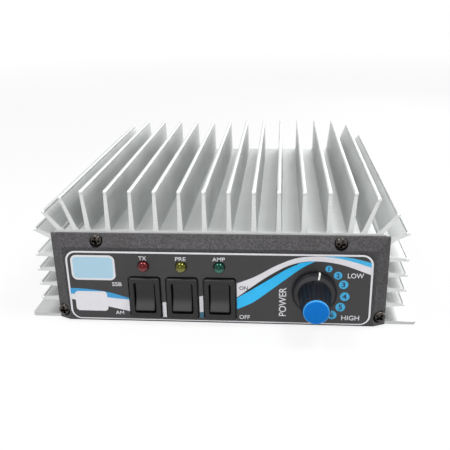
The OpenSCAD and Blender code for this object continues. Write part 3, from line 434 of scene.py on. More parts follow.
finishes = {
    "heatsink": extrudedAluminium(),
    # The beads' ends: smoother metal, paler in colour as a painted highlight on the small tips
    "beadEndHighlight": plainFinish("smoothAluminiumPaintedHighlight", "#D6D8D7", "#E4E6E5", 0.34, 1.0),
    "sheet": brushedSheet(),
    "cover_black": grainedAbs(),
    "label": printedSheet(),
    "inkWhite": screenInk("whiteScreenInk", "#D6D5DA", "#E6E5EA"),
    "inkBlue": screenInk("blueScreenInk", "#13B4F0", "#1DC0FC"),
    "inkPale": screenInk("paleBlueScreenInk", "#33AADC", "#40B6E8"),
    "inkSky": screenInk("skyBlueScreenInk", "#A0C8DC", "#AED0E1"),
    "inkDark": screenInk("charcoalScreenInk", "#2E2D30", "#38373A"),
    "inkDull": screenInk("dullBlueScreenInk", "#2F93CC", "#3A9DD4"),
    "inkNight": screenInk("blueBlackScreenInk", "#0A0F14", "#10161C"),
    "inkNavy": screenInk("navyScreenInk", "#0A2C44", "#0E3550"),
    "inkTeal": screenInk("tealScreenInk", "#245E74", "#2E6E86"),
    # Plated screws: a near-black one with brown glints, and a pale grey one
    "bronze_screw": plainFinish("bronzeBlackPlating", "#3B3836", "#57514D", 0.22, 1.0, 0.8),
    "zinc_screw": plainFinish("zincPlating", "#A7A8A6", "#C2C3C0", 0.32, 1.0, 0.8),
    # Moulded nylon: matt black frames, and rockers with a satin shine
    "switch_black": plainFinish("mattBlackNylon", "#121112", "#1A191A", 0.42, grain=0.4, relief=0.02,
                                Specular_IOR_Level=0.42),
    "rocker_black": plainFinish("satinBlackNylon", "#0E0D0E", "#191819", 0.3, grain=0.35, relief=0.03,
                                Specular_IOR_Level=0.42),
    # Tinned leads: soft, warm silver
    "tinned": plainFinish("tinPlating", "#B9B7AE", "#CFCDC4", 0.35, 1.0, 0.6),
    # Each lens's second colour is its painted glow
    "red_lens": tintedEpoxy("redTintedEpoxy", "#2E040A", "#6A3839", "#E8545C"),
    "yellow_lens": tintedEpoxy("yellowTintedEpoxy", "#262604", "#74723E", "#DCDA54"),
    "green_lens": tintedEpoxy("greenTintedEpoxy", "#011A14", "#3B6757", "#42AC92"),
    # The selector: a faintly marbled moulding, a warm silver bushing, a shaft with fine turning lines,
    # and yellow brass, which the transformer's tubes share
    "phenolic": plainFinish("darkBluePhenolic", "#182238", "#223050", 0.4, grain=1.2),
    "nickel": plainFinish("nickelPlating", "#ADAAA0", "#C6C3B8", 0.28, 1.0, 0.7),
    "shaft_steel": plainFinish("turnedSteel", "#9C9A94", "#BCBAB2", 0.3, 1.0, 0.3, stretch=(1, 20, 1)),
    "raw_brass": plainFinish("turnedBrass", "#B08A45", "#C9A45C", 0.3, 1.0),
    # Moulded ABS: a satin grip with a bluish cast, a matt slope whose paler black is painted light, and a blue cap
    # whose paler edge is a painted highlight
    "knob_black": plainFinish("satinBlueBlackAbs", "#08070C", "#0E0D14", 0.34, Specular_IOR_Level=0.2),
    "knobSlopePaintedLight": plainFinish("mattBlackAbsPaintedLight", "#1F1F22", "#2A2A2D", 0.5, grain=0.35, relief=0.03,
                             Specular_IOR_Level=0.35),
    "cap_blue": plainFinish("satinBlueAbs", "#006ABE", "#0072C8", 0.3, Specular_IOR_Level=0.1),
    # The cap's rounded edge: a paler blue as a painted highlight
    "capEdgeHighlight": plainFinish("paintedHighlightBlueAbs", "#2A86C8", "#3690D0", 0.35, Specular_IOR_Level=0.3),
    # Paint on the pointer: dull white
    "white_ink": plainFinish("whitePaintLine", "#CCCCCA", "#DADAD8", 0.45, grain=0.4),
    # The board, glossy green with shallow ripples, and the transformer's plates, shining copper foil
    "board_green": plainFinish("greenSolderMask", "#155A33", "#1E7040", 0.35, grain=3.0, relief=0.02),
    "copper_clad": plainFinish("copperCladBoard", "#A8663E", "#C98559", 0.35, 1.0, 0.8),
    # Yellow shine on the transistors' flanges and leads and the sockets' contacts, and white caps
    "gold": plainFinish("goldPlating", "#C79A45", "#DDB766", 0.25, 1.0, 0.6),
    "white_ceramic": plainFinish("glazedAlumina", "#E6E2D8", "#F2EEE6", 0.25, grain=1.0),
    # Cores and windings: gritty charcoal, dull yellow coating, and glossy copper wire
    "ferrite": plainFinish("sinteredFerrite", "#2E2C2B", "#454240", 0.6, relief=0.03),
    "core_yellow": plainFinish("yellowCoatedCore", "#B4A23A", "#CBB84C", 0.5, grain=0.8, relief=0.03),
    "enamel_copper": plainFinish("enamelledCopper", "#8E4420", "#B05C2E", 0.25, 0.8),
    # Parts on the board: smooth mouldings, a shiny sleeve, dull lacquer, and glossy amber fuses
    "relay_blue": plainFinish("blueRelayCase", "#1B5F9C", "#2772B4", 0.32, grain=2.0),
    "sleeve_blue": plainFinish("darkShrinkSleeve", "#14142E", "#20203E", 0.3, grain=1.5),
    "resistor_blue": plainFinish("blueGreyLacquer", "#4C7C94", "#6292AA", 0.4, grain=0.8),
    "holder_black": plainFinish("blackGlassNylon", "#222224", "#303032", 0.5, grain=0.6, relief=0.02),
    "fuse_amber": plainFinish("amberPolycarbonate", "#C8901A", "#DDA62C", 0.2, grain=1.5),
    "trimmer_blue": plainFinish("blueThermoset", "#1E4F96", "#2A61AE", 0.4, grain=1.0),
    # The rear sockets: bright metal round waxy white plastic; the grommet: dull, soft black
    "socket_nickel": plainFinish("brightNickel", "#B5B4AE", "#CCCBC4", 0.18, 1.0, 1.2, 0.004),
    "socket_steel": plainFinish("brightZincSteel", "#B2B3B2", "#C8C9C8", 0.22, 1.0, 0.8, 0.004),
    "ptfe": plainFinish("whiteFluoropolymer", "#E6E3DB", "#F1EEE7", 0.45, grain=1.2),
    "rubber_black": plainFinish("blackRubber", "#1C1C1D", "#29292A", 0.6, grain=0.7, relief=0.03),
}
slotOf = {s["node"]: s["material_slot"] for s in frame["record"]["subparts"]}
for name, piece in nodes.items():
    piece.data.materials.clear()
    piece.data.materials.append(finishes.get(slotOf[name], finishes["sheet"]))
print("materials made:", len(finishes))


# ---- bright ends of the fins' beads ----

# Fin places as in the heatsink. A leaning fin has its root's way in from the side and down from the
# roof's face, its lean in degrees and its length; share is the dome's radius against the bead's
finShape = dict(bead=0.85, share=0.98, out=0.3, sunk=0.15, body=42.0, side=71.6, upright=10, pitch=10.35,
                tall=18.0, lean=[(16.3, 0.0, 5.4, 18.0), (10.8, 0.0, 20.0, 16.4), (4.3, 0.2, 39.5, 11.7),
                                 (0.2, 3.4, 64.5, 8.9)],
                level=4, lowest=9.3, step=7.05, levelLength=8.4)


# Each bead ends in a shallow dome: radius bead * share * cos(bow), height out * sin(bow)
def beadDomes(v, front, rear):
    roots = [((i - (v["upright"] - 1) / 2) * v["pitch"], v["body"], 0.0, v["tall"])
             for i in range(v["upright"])]
    for side in (-1, 1):
        roots += [(side * (v["side"] - inward), v["body"] - below, side * lean, long)
                  for inward, below, lean, long in v["lean"]]
        roots += [(side * v["side"], v["lowest"] + i * v["step"], side * 90.0, v["levelLength"])
                  for i in range(v["level"])]
    bow = np.radians(np.linspace(0, 88, 6))
    radius = v["bead"] * v["share"]
    domes = []
    for x, z, lean, long in roots:
        a, reach = math.radians(lean), long - v["bead"]
        for face, way in ((front, 1), (rear, -1)):
            profile = [(radius, -v["sunk"] * way)]
            profile += [(radius * math.cos(b), v["out"] * math.sin(b) * way) for b in bow]
            middle = x + reach * math.sin(a), face, z + reach * math.cos(a)
            domes.append(loftRings(turnedRings(profile, 20, middle)))
    return joinParts(domes)


sinkLow, sinkHigh = nodeBox("heatsink")
makePiece("finBeadEnds", beadDomes(finShape, sinkLow[1], sinkHigh[1]), finishes["beadEndHighlight"],
          "casing")
print("fin beads made")


# ---- print on the front label ----

# Each layer of ink stands one step proud of the sheet, and all reach one step into it
inkStep = 0.02


# A flat patch of ink between an upper and a lower edge line, as a thin closed skin
def inkBand(name, upper, lower, ink, layer=1):
    front, back = labelFace - inkStep * layer, labelFace + inkStep
    edges = ((upper, front), (lower, front), (lower, back), (upper, back))
    rings = np.stack([np.insert(line, 1, y, axis=1) for line, y in edges], 1)
    return makePiece(name, loftRings(rings), finishes[ink], "casing")


# A flat patch of ink inside a closed line of (x, z) points
def inkPatch(name, line, ink, layer=1):
    rings = np.stack([np.insert(line, 1, y, axis=1)
                      for y in (labelFace - inkStep * layer, labelFace + inkStep)])
    return makePiece(name, loftRings(rings), finishes[ink], "casing")


# Words in the built-in letters, scaled to a cap height and centred on (x, z). The letters are first
# given any thickness; a point's side of their middle then says whether it is in front or behind
def inkWord(name, text, x, z, cap, ink, width=None, turn=0, layer=3, bold=0.006):
    curve = bpy.data.curves.new(name, "FONT")
    curve.body = text
    curve.extrude = 0.01
    curve.offset = bold
    shape = bpy.data.objects.new(name + "Curve", curve)
    bpy.context.scene.collection.objects.link(shape)
    bpy.context.view_layer.update()
    mesh = bpy.data.meshes.new_from_object(shape)
    bpy.data.objects.remove(shape)
    flat = np.zeros(len(mesh.vertices) * 3)
    mesh.vertices.foreach_get("co", flat)
    flat = flat.reshape(-1, 3)
    low, high = flat.min(0), flat.max(0)
    flat -= (low + high) / 2
    tall = cap / (high[1] - low[1])
    wide = tall if width is None else width / (high[0] - low[0])
    a = math.radians(turn)
    u, v = flat[:, 0] * wide, flat[:, 1] * tall
    halfStep = inkStep / 2
    depth = labelFace - halfStep * layer - np.sign(flat[:, 2]) * (halfStep * layer + halfStep)
    place = np.stack([x + u * math.cos(a) - v * math.sin(a), depth,
                      z + u * math.sin(a) + v * math.cos(a)], -1)
    mesh.vertices.foreach_set("co", (place * mm).ravel())
    mesh.update()
    piece = bpy.data.objects.new(name, mesh)
    bpy.context.scene.collection.objects.link(piece)
    mesh.materials.append(finishes[ink])
    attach(piece, "casing")
    return piece


outlineShape = dict(left=-65.3, right=64.9, low=1.6, high=34.2, line=0.8, foot=0.5, corner=4.6)


# The white line round the label: rings from its outer edge to its inner edge, each a rounded
# rectangle drawn in by the line's width, or at its foot by a smaller width
def labelOutline(v):
    def ring(inset, foot, ahead):
        low, high = v["low"] + foot, v["high"] - inset
        middle = (v["left"] + v["right"]) / 2, labelFace, (low + high) / 2
        return boxRings([(v["right"] - v["left"] - 2 * inset, high - low, v["corner"] - inset, ahead)],
                        middle, perCorner=12)[0]
    return hoopRings(np.array([
        ring(0, 0, -inkStep), ring(0, 0, inkStep),
        ring(v["line"], v["foot"], inkStep), ring(v["line"], v["foot"], -inkStep)]))


makePiece("labelOutline", labelOutline(outlineShape), finishes["inkWhite"], "casing")

# Plain decorative ribbons: each lies between two smooth edge lines
ribbons = [
    dict(name="ribbonWhiteLeft", ink="inkWhite", layer=1,
         upper=[(-64.6, 15.0), (-56, 14.5), (-48, 13.5), (-38.8, 11.8)],
         lower=[(-64.6, 11.2), (-56, 9.5), (-48, 7.8), (-38.8, 5.7)]),
    dict(name="ribbonBlueLeft", ink="inkDull", layer=2,
         upper=[(-64.6, 16.6), (-56, 16.1), (-48, 14.9), (-38.8, 12.2)],
         lower=[(-64.6, 13.8), (-56, 13.4), (-48, 12.3), (-38.8, 11.4)]),
    dict(name="ribbonWhiteNear", ink="inkWhite", layer=1,
         upper=[(-24.2, 10.4), (-22.55, 10.6)], lower=[(-24.2, 3.2), (-22.55, 3.3)]),
    dict(name="ribbonWhiteFar", ink="inkWhite", layer=1,
         upper=[(-7.95, 13.6), (-6.3, 14.0)], lower=[(-7.95, 5.9), (-6.3, 6.3)]),
    dict(name="ribbonBlueFar", ink="inkTeal", layer=1,
         upper=[(-7.95, 5.8), (-6.3, 6.2)], lower=[(-7.95, 3.3), (-6.3, 3.4)]),
    dict(name="ribbonWhiteRight", ink="inkWhite", layer=1,
         upper=[(8.3, 20.2), (15, 23.0), (25.8, 29.2), (33, 32.2), (41, 33.2), (50, 32.7), (64.2, 28.7)],
         lower=[(8.3, 13.6), (15, 18.9), (22.4, 24.3), (29.3, 28.5), (36.1, 30.7), (43, 31.0), (50.5, 30.0),
                (64.2, 25.2)]),
    dict(name="ribbonBlueRight", ink="inkBlue", layer=2,
         upper=[(8.3, 13.2), (15, 17.7), (22.4, 22.7), (29.3, 27.3), (35, 30.1), (41, 31.1)],
         lower=[(8.3, 7.9), (15, 11.3), (22.4, 17.1), (29.3, 22.8), (36.1, 28.2), (41, 31.0)]),
    dict(name="ribbonShadeRight", ink="inkNight", layer=2,
         upper=[(12, 16.6), (22.4, 24.4), (29.3, 28.5), (34, 30.2)],
         lower=[(12, 15.6), (22.4, 22.6), (29.3, 27.2), (34, 29.6)]),
    dict(name="ribbonPaleCorner", ink="inkPale", layer=2,
         upper=[(45.2, 33.3), (50.5, 33.3), (57, 32.5), (64.1, 30.7)],
         lower=[(45.2, 33.1), (50, 32.6), (57, 30.9), (64.1, 28.6)]),
]
for band in ribbons:
    inkBand(band["name"], smoothLine(band["upper"]), smoothLine(band["lower"]), band["ink"], band["layer"])

# Two plain plates; the upper one has a pale field inside a white rim
upperPlate = dict(x=-53.5, z=26.45, w=19.3, h=11.7, r=2.6, rim=0.9)
lowerPlate = dict(x=-55.6, z=10.4, w=14.3, h=9.5, r=1.6)


# Outline of a plate, drawn in from its edge by inset
def plateLine(v, inset=0.0):
    return roundedBox(v["w"] - 2 * inset, v["h"] - 2 * inset, v["r"] - inset, 10) + [v["x"], v["z"]]


inkPatch("barePlateUpper", plateLine(upperPlate), "inkWhite", 1)
inkPatch("barePlateField", plateLine(upperPlate, upperPlate["rim"]), "inkSky", 2)
inkPatch("barePlateLower", plateLine(lowerPlate), "inkWhite", 3)

words = [
    ("wordTx", "TX", -31.65, 31.2, 1.75, "inkWhite", 3.3, 0),
    ("wordPre", "PRE", -15.35, 31.1, 1.75, "inkWhite", 4.5, 0),
    ("wordAmp", "AMP", 0.85, 31.2, 1.75, "inkWhite", 5.3, 0),
    ("wordSsb", "SSB", -43.65, 18.8, 1.8, "inkWhite", 4.2, 0),
    ("wordAm", "AM", -43.45, 4.95, 1.75, "inkWhite", 3.7, 0),
    ("wordOn", "ON", 11.2, 18.05, 1.75, "inkDark", 3.6, 0),
    ("wordOff", "OFF", 11.5, 4.15, 1.85, "inkWhite", 4.5, 0),
    ("wordPower", "POWER", 27.75, 11.85, 3.1, "inkWhite", 13.5, 90),
    ("wordLow", "LOW", 57.9, 24.7, 2.2, "inkWhite", 6.6, 0),
    ("wordHigh", "HIGH", 56.5, 4.9, 2.2, "inkWhite", 7.5, 0),
]
for name, text, x, z, cap, ink, width, turn in words:
    inkWord(name, text, x, z, cap, ink, width, turn)

# Six numbered discs on an arc round the knob: each has its turn from the top and its width
dial = dict(x=41.1, z=16.3, radius=12.7, number=0.62,
            discs=[(26.4, 2.9), (48.5, 3.5), (70.4, 3.9), (95.9, 4.0), (119.8, 4.05), (143.2, 4.0)])
wholeTurn = np.linspace(0, 2 * np.pi, 48, endpoint=False)
for number, (turn, size) in enumerate(dial["discs"], 1):
    a = math.radians(turn)
    x, z = dial["x"] + dial["radius"] * math.sin(a), dial["z"] + dial["radius"] * math.cos(a)
    disc = np.stack([x + size / 2 * np.cos(wholeTurn), z + size / 2 * np.sin(wholeTurn)], -1)
    inkPatch(f"dialDisc{number}", disc, "inkPale", 3)
    bold = 0.05 if number == 1 else 0.026  # the narrow 1 is drawn bolder
    inkWord(f"dialNumber{number}", str(number), x, z, size * dial["number"], "inkNavy", layer=4, bold=bold)
print("label printed")


# ---- rocker switches ----

switchShape = dict(w=13.3, h=18.7, out=1.2, seat=1.25, bodyW=12.2, bodyH=17.0, deep=16.0,
                   openW=9.2, openH=14.3, well=7.5)


# One skin from the well's floor, up its walls, over the frame and back along the body: rounded
# rectangles, each given by its difference from the named size, its corner and its distance forward
def switchSkin(place, v):
    well = [(0.0, 0.9, -v["well"]), (0.0, 0.9, v["out"] - 0.35), (0.25, 1.0, v["out"] - 0.08),
            (0.6, 1.2, v["out"])]
    rim = [(1.0, 0.7, v["out"]), (0.55, 0.85, v["out"] - 0.06), (0.2, 1.0, v["out"] - 0.22),
           (0.0, 1.1, v["out"] - 0.5), (0.0, 1.1, -v["seat"])]
    body = [(0.0, 0.4, -v["seat"]), (0.0, 0.4, -v["deep"] + 0.4), (0.8, 0.3, -v["deep"])]
    stations = [(v["openW"] + more, v["openH"] + more, r, ahead) for more, r, ahead in well]
    stations += [(v["w"] - less, v["h"] - less, r, ahead) for less, r, ahead in rim]
    stations += [(v["bodyW"] - less, v["bodyH"] - less, r, ahead) for less, r, ahead in body]
    return loftRings(boxRings(stations, place))


rockerShape = dict(w=8.6, half=6.25, out=4.6, dish=1.4, edge=0.55, corner=0.7, back=1.6, tip=3.6,
                   taper=0.45, lean=-10.0, pin=1.0, span=11.0)


# The rocker's face is a height field: a shallow cylinder dished along z, inside a rectangle with
# rounded corners, its rim rounded off by a quarter circle of radius edge. Below it the sides run
# straight back and then taper to the tip
def rockerSkin(pivot, v):
    bend = 0.13 * (1 - np.cos(np.linspace(0, np.pi / 2, 9)[1:]))
    lowEnd, highEnd = np.concatenate([[-1], -1 + bend]), np.concatenate([(1 - bend)[::-1], [1]])
    across = np.concatenate([lowEnd, np.linspace(-0.8, 0.8, 9), highEnd])
    along = np.concatenate([lowEnd, np.linspace(-0.84, 0.84, 25), highEnd])
    u, z = np.meshgrid(across, along * v["half"], indexing="ij")
    flatX, flatZ = v["w"] / 2 - v["corner"], v["half"] - v["corner"]
    past = np.clip(np.abs(z) - flatZ, 0, v["corner"])
    x = u * (flatX + np.sqrt(np.maximum(v["corner"] ** 2 - past ** 2, 0)))
    outX, outZ = np.abs(x) - flatX, np.abs(z) - flatZ
    inside = (v["corner"] - np.hypot(np.maximum(outX, 0), np.maximum(outZ, 0))
              - np.minimum(np.maximum(outX, outZ), 0))
    reach = np.clip(v["edge"] - inside, 0, v["edge"])
    drop = v["edge"] - np.sqrt(np.maximum(v["edge"] ** 2 - reach ** 2, 0))
    y = -v["out"] + v["dish"] * (1 - (z / v["half"]) ** 2) + drop
    rows, columns = x.shape
    face = np.stack([x, y, z], -1).reshape(-1, 3)
    index = np.arange(rows * columns).reshape(rows, columns)
    rim = np.concatenate([index[:, 0], index[-1, 1:], index[-2::-1, -1], index[0, -2:0:-1]])
    waist, tail = face[rim], face[rim]
    waist[:, 1] = v["back"]
    tail[:, 1] = v["tip"]
    tail[:, 2] *= v["taper"]
    count = len(rim)
    here = len(face) + np.arange(count)
    after = np.roll(here, -1)
    walls = np.stack([rim, np.roll(rim, -1), after, here], -1)
    ends = np.stack([here, after, count + after, count + here], -1)
    faces = gridQuads(rows, columns, False).tolist() + walls.tolist() + ends.tolist()
    faces.append((count + here).tolist())
    # the pivot pin, a plain rod along x
    angle = np.linspace(0, 2 * np.pi, 24, endpoint=False)
    pinRings = np.array([np.stack([np.full(24, end), v["pin"] * np.cos(angle), v["pin"] * np.sin(angle)], -1)
                         for end in (-v["span"] / 2, v["span"] / 2)])
    points, faces = joinParts([(np.concatenate([face, waist, tail]), faces), loftRings(pinRings)])
    a = math.radians(v["lean"])
    x, y, z = points.T
    turned = np.stack([x, y * math.cos(a) - z * math.sin(a), y * math.sin(a) + z * math.cos(a)], -1)
    return turned + pivot, faces


for name in switchNames:
    pivot = jointPlace[name + "_switch_rock"]
    place = np.array([pivot[0], labelFace, pivot[2]])
    makePiece(name + "SwitchFrame", switchSkin(place, switchShape), finishes["switch_black"],
              "casing", [name + "_switch_body"])
    makePiece(name + "SwitchRocker", rockerSkin(pivot, rockerShape), finishes["rocker_black"],
              name + "_rocker", [name + "_rocker"])
print("switches made")


# ---- lamps ----

lampShape = dict(r=2.5, back=6.2, collar=2.9, collarT=1.0)


# A round-nosed lens on a collar: radius r * cos(bow), height r * sin(bow), turned about Y
def lampLens(centre, v):
    bow = np.radians(np.linspace(0, 89, 18))
    ledge = v["collarT"] - v["back"]
    profile = [(pole, -v["back"]), (v["collar"], -v["back"]), (v["collar"], ledge), (v["r"], ledge)]
    profile += list(zip(v["r"] * np.cos(bow), v["r"] * np.sin(bow)))
    return loftRings(turnedRings(profile, 48, centre))


for name, lens in (("tx", "red_lens"), ("preamp", "yellow_lens"), ("power", "green_lens")):
    middle = nodeMiddle(name + "_lamp")
    centre = np.array([middle[0], nodeBox(name + "_lamp")[0][1] + lampShape["r"], middle[2]])
    makePiece(name + "LampLens", lampLens(centre, lampShape), finishes[lens],
              "casing", [name + "_lamp"])
print("lamps made")


# ---- knob ----

knobShape = dict(gap=0.35, skirt=9.4, edge=1.95, rim=0.55, matt=8.5, foot=6.9, footAt=3.3, fillet=0.25,
                 grip=6.9, gripEnd=5.75, end=17.3, flutes=18, cut=0.4, cutFrom=4.0, fade=1.1,
                 room=6.02, roomDeep=2.8, bore=4.45, recess=4.66, recessDeep=1.15)


# The knob's skin: rings run out under the skirt, over its edge, up the fluted grip and into the
# recess for the cap. A flute lowers the radius by cut * (0.5 + 0.5 cos(flutes * angle)) ** 1.6
def knobSkin(place, v):
    angle = np.linspace(0, 2 * np.pi, v["flutes"] * 16, endpoint=False)
    inner, recessFloor = v["skirt"] - v["rim"], v["end"] - v["recessDeep"]
    fall = (v["footAt"] - v["edge"] - v["rim"]) / (inner - v["foot"] - v["fillet"])
    climb = np.linspace(0, 1, 30)
    gripAt = v["footAt"] + 0.4 + climb * (v["end"] - 0.35 - v["footAt"] - 0.4)
    gripR = v["grip"] + (v["gripEnd"] - v["grip"]) * climb
    profile = [(v["bore"], v["roomDeep"]), (v["room"], v["roomDeep"]), (v["room"], v["gap"]),
               (v["skirt"] - 0.1, v["gap"]), (v["skirt"], v["gap"] + 0.1)]
    profile += [(inner + v["rim"] * math.cos(b), v["edge"] + v["rim"] * math.sin(b))
                for b in np.radians(np.linspace(0, 90, 6))]
    profile += [(v["matt"], v["edge"] + v["rim"] + fall * (inner - v["matt"])),
                (v["foot"] + v["fillet"], v["footAt"]), (v["foot"] + 0.07, v["footAt"] + 0.07),
                (v["foot"], v["footAt"] + v["fillet"])]
    profile += list(zip(gripR, gripAt))
    profile += [(v["gripEnd"] - 0.06, v["end"] - 0.18), (v["gripEnd"] - 0.2, v["end"] - 0.05),
                (v["gripEnd"] - 0.4, v["end"]), (v["recess"], v["end"]), (v["recess"], recessFloor),
                (v["bore"], recessFloor)]
    radius, ahead = np.array(profile).T[:, :, None]
    wave = (0.5 + 0.5 * np.cos(v["flutes"] * angle)) ** 1.6
    start = np.clip((ahead - v["cutFrom"]) / v["fade"], 0, 1)
    fluted = start * start * (3 - 2 * start) * (radius > v["gripEnd"] - 0.45) * (ahead > v["cutFrom"])
    radius = radius - v["cut"] * fluted * wave
    x, z = place[0] + radius * np.sin(angle), place[2] + radius * np.cos(angle)
    return hoopRings(np.stack([x, place[1] - ahead + 0 * angle, z], -1))


# Gives a knob piece's second material to the faces whose middle passes a test of its distance
# forward and its distance from the knob's axis
def paintFaces(piece, test):
    middles = np.zeros(len(piece.data.polygons) * 3)
    piece.data.polygons.foreach_get("center", middles)
    middles = middles.reshape(-1, 3) / mm - knobPlace
    second = test(-middles[:, 1], np.hypot(middles[:, 0], middles[:, 2]))
    piece.data.polygons.foreach_set("material_index", second.astype(np.int32))


knobGrip = makePiece("knobGrip", knobSkin(knobPlace, knobShape), finishes["knob_black"], "selector_spindle",
                     ["power_knob"], smooth=50)
# The skirt's sloping front is matt, and paler than the glossy black rim round it: painted light on the slope
knobGrip.data.materials.append(finishes["knobSlopePaintedLight"])
paintFaces(knobGrip, lambda ahead, radius: (ahead > knobShape["edge"]) & (ahead < knobShape["footAt"] + 0.15)
           & (radius > knobShape["foot"]) & (radius < knobShape["matt"]))


pointerShape = dict(knobShape, line=0.75, proud=0.05, sunk=0.2, turn=12.0)


# The white line: a thin strip that follows the skirt's side, its rounded edge and its slope; each
# point moves out along the surface's normal by proud and in by sunk
def pointerSkin(place, v):
    bend = np.radians(np.linspace(0, 90, 6))
    inner = v["skirt"] - v["rim"]
    fall = np.array([inner - v["foot"] - v["fillet"], v["footAt"] - v["edge"] - v["rim"]])
    fall /= np.hypot(*fall)
    ahead = np.concatenate([[v["gap"] + 0.3], v["edge"] + v["rim"] * np.sin(bend), [v["footAt"] - 0.04]])
    high = np.concatenate([[v["skirt"]], inner + v["rim"] * np.cos(bend), [v["foot"] + 0.35]])
    outAhead = np.concatenate([[0], np.sin(bend), fall[:1]])
    outHigh = np.concatenate([[1], np.cos(bend), fall[1:]])
    rings = []
    for side, off in ((-1, v["proud"]), (1, v["proud"]), (1, -v["sunk"]), (-1, -v["sunk"])):
        rings.append(np.stack([np.full(len(ahead), side * v["line"] / 2), ahead + off * outAhead,
                               high + off * outHigh], -1))
    points, faces = loftRings(np.array(rings).transpose(1, 0, 2))
    a = math.radians(v["turn"])
    x, ahead, up = points.T
    return np.stack([place[0] + x * math.cos(a) + up * math.sin(a), place[1] - ahead,
                     place[2] - x * math.sin(a) + up * math.cos(a)], -1), faces


makePiece("knobPointer", pointerSkin(knobPlace, pointerShape), finishes["white_ink"], "selector_spindle",
          ["knob_pointer"])

capShape = dict(r=5.25, plug=4.6, low=16.2, seat=17.32, top=18.6, bow=0.35, edge=0.5, highlightBand=0.42)


# The cap: a plug, a flat underside, a rounded edge and a slightly domed top, turned about Y
def capSkin(place, v):
    bend = np.radians(np.linspace(0, 80, 7))
    crown = v["top"] - v["bow"]
    profile = [(pole, v["low"]), (v["plug"], v["low"]), (v["plug"], v["seat"]),
               (v["r"] - 0.1, v["seat"]), (v["r"], v["seat"] + 0.1)]
    profile += [(v["r"] - v["edge"] * (1 - math.cos(b)), crown - v["edge"] * (1 - math.sin(b))) for b in bend]
    inward = np.linspace(v["r"] - v["edge"] - 0.1, pole, 14)
    profile += [(r, v["top"] - v["bow"] * (r / (v["r"] - v["edge"])) ** 2) for r in inward]
    return loftRings(turnedRings(profile, 72, place))


knobCap = makePiece("knobCap", capSkin(knobPlace, capShape), finishes["cap_blue"],
                    "selector_spindle", ["knob_cap"])
# Its rounded edge is painted paler: a painted highlight
knobCap.data.materials.append(finishes["capEdgeHighlight"])
paintFaces(knobCap, lambda ahead, radius: (ahead > capShape["seat"] + 0.2)
           & (radius > capShape["r"] - capShape["highlightBand"]))
print("knob made")


# ---- screws ----

# topX is how far the two upper screws of a cover stand from the middle
headShape = dict(r=2.5, high=2.0, side=0.8, cross=1.6, slot=0.4, deep=1.5, topX=51.5)


# A pan head as a height field over (radius, angle): a dome less a cross whose two arms taper
# inwards as it goes down; the side wall and a flat seat close it
def panHead(centre, v, spin=0.0, shank=1.45, length=10.0, outward=-1):
    angle = np.linspace(0, 2 * np.pi, 72, endpoint=False)
    radius = np.concatenate([[pole], np.linspace(0.12, 0.94, 22) * v["r"], [v["r"] * 0.975, v["r"]]])
    rr, aa = np.meshgrid(radius, angle, indexing="ij")
    dome = v["side"] + (v["high"] - v["side"]) * np.sqrt(np.maximum(1 - (rr / v["r"]) ** 2, 0)) ** 0.85
    u, w = rr * np.cos(aa - spin), rr * np.sin(aa - spin)

    # one arm of the cross: full depth on its middle line, fading at its edge and its end
    def arm(along, sideways):
        across = np.clip((v["slot"] + 0.16 - np.abs(sideways)) / 0.2, 0, 1)
        length = np.clip((v["cross"] + 0.2 - np.abs(along)) / 0.45, 0, 1)
        return across * length
    cut = np.maximum(arm(u, w), arm(w, u))
    height = dome - v["deep"] * cut * cut * (3 - 2 * cut)
    x, z = centre[0] + rr * np.sin(aa), centre[2] + rr * np.cos(aa)
    head = np.stack([x, centre[1] + outward * height, z], -1)
    shankProfile = [(v["r"], 0.0), (shank, 0.0), (shank, -length + 0.8), (shank * 0.5, -length)]
    tail = np.array([np.stack([centre[0] + r * np.sin(angle), np.full(len(angle), centre[1] + outward * d),
                               centre[2] + r * np.cos(angle)], -1) for r, d in shankProfile])
    return loftRings(np.concatenate([head, tail]))


# Screws at the corners of a CAD node's box, two high and two low, each turned its own way
def coverScrews(name, node, outward, seed):
    turns = np.random.default_rng(seed).uniform(0, 90, 4)
    low, high = nodeBox(node)
    seat = (low[1] + headShape["high"]) if outward < 0 else (high[1] - headShape["high"])
    r, topX = headShape["r"], headShape["topX"]
    places = [(low[0] + r, low[2] + r), (high[0] - r, low[2] + r), (-topX, high[2] - r), (topX, high[2] - r)]
    heads = [panHead((x, seat, z), headShape, math.radians(turn), outward=outward)
             for (x, z), turn in zip(places, turns)]
    makePiece(name, joinParts(heads), finishes["bronze_screw"], "casing", [node], smooth=30)


coverScrews("frontCoverScrews", "front_cover_screws", -1, 4)
coverScrews("rearCoverScrews", "rear_cover_screws", 1, 9)
print("screws made")


# ---- rear sockets and grommet ----

socketShape = dict(flange=25.4, flangeT=2.4, corner=2.0, hole=9.1, barrel=7.94, barrelL=11.5, neck=7.64,
                   bore=6.1, boreD=8.5, tail=6.9, tailL=5.0, pitch=1.058, thread=0.5, notches=4,
                   notchDeep=0.7)


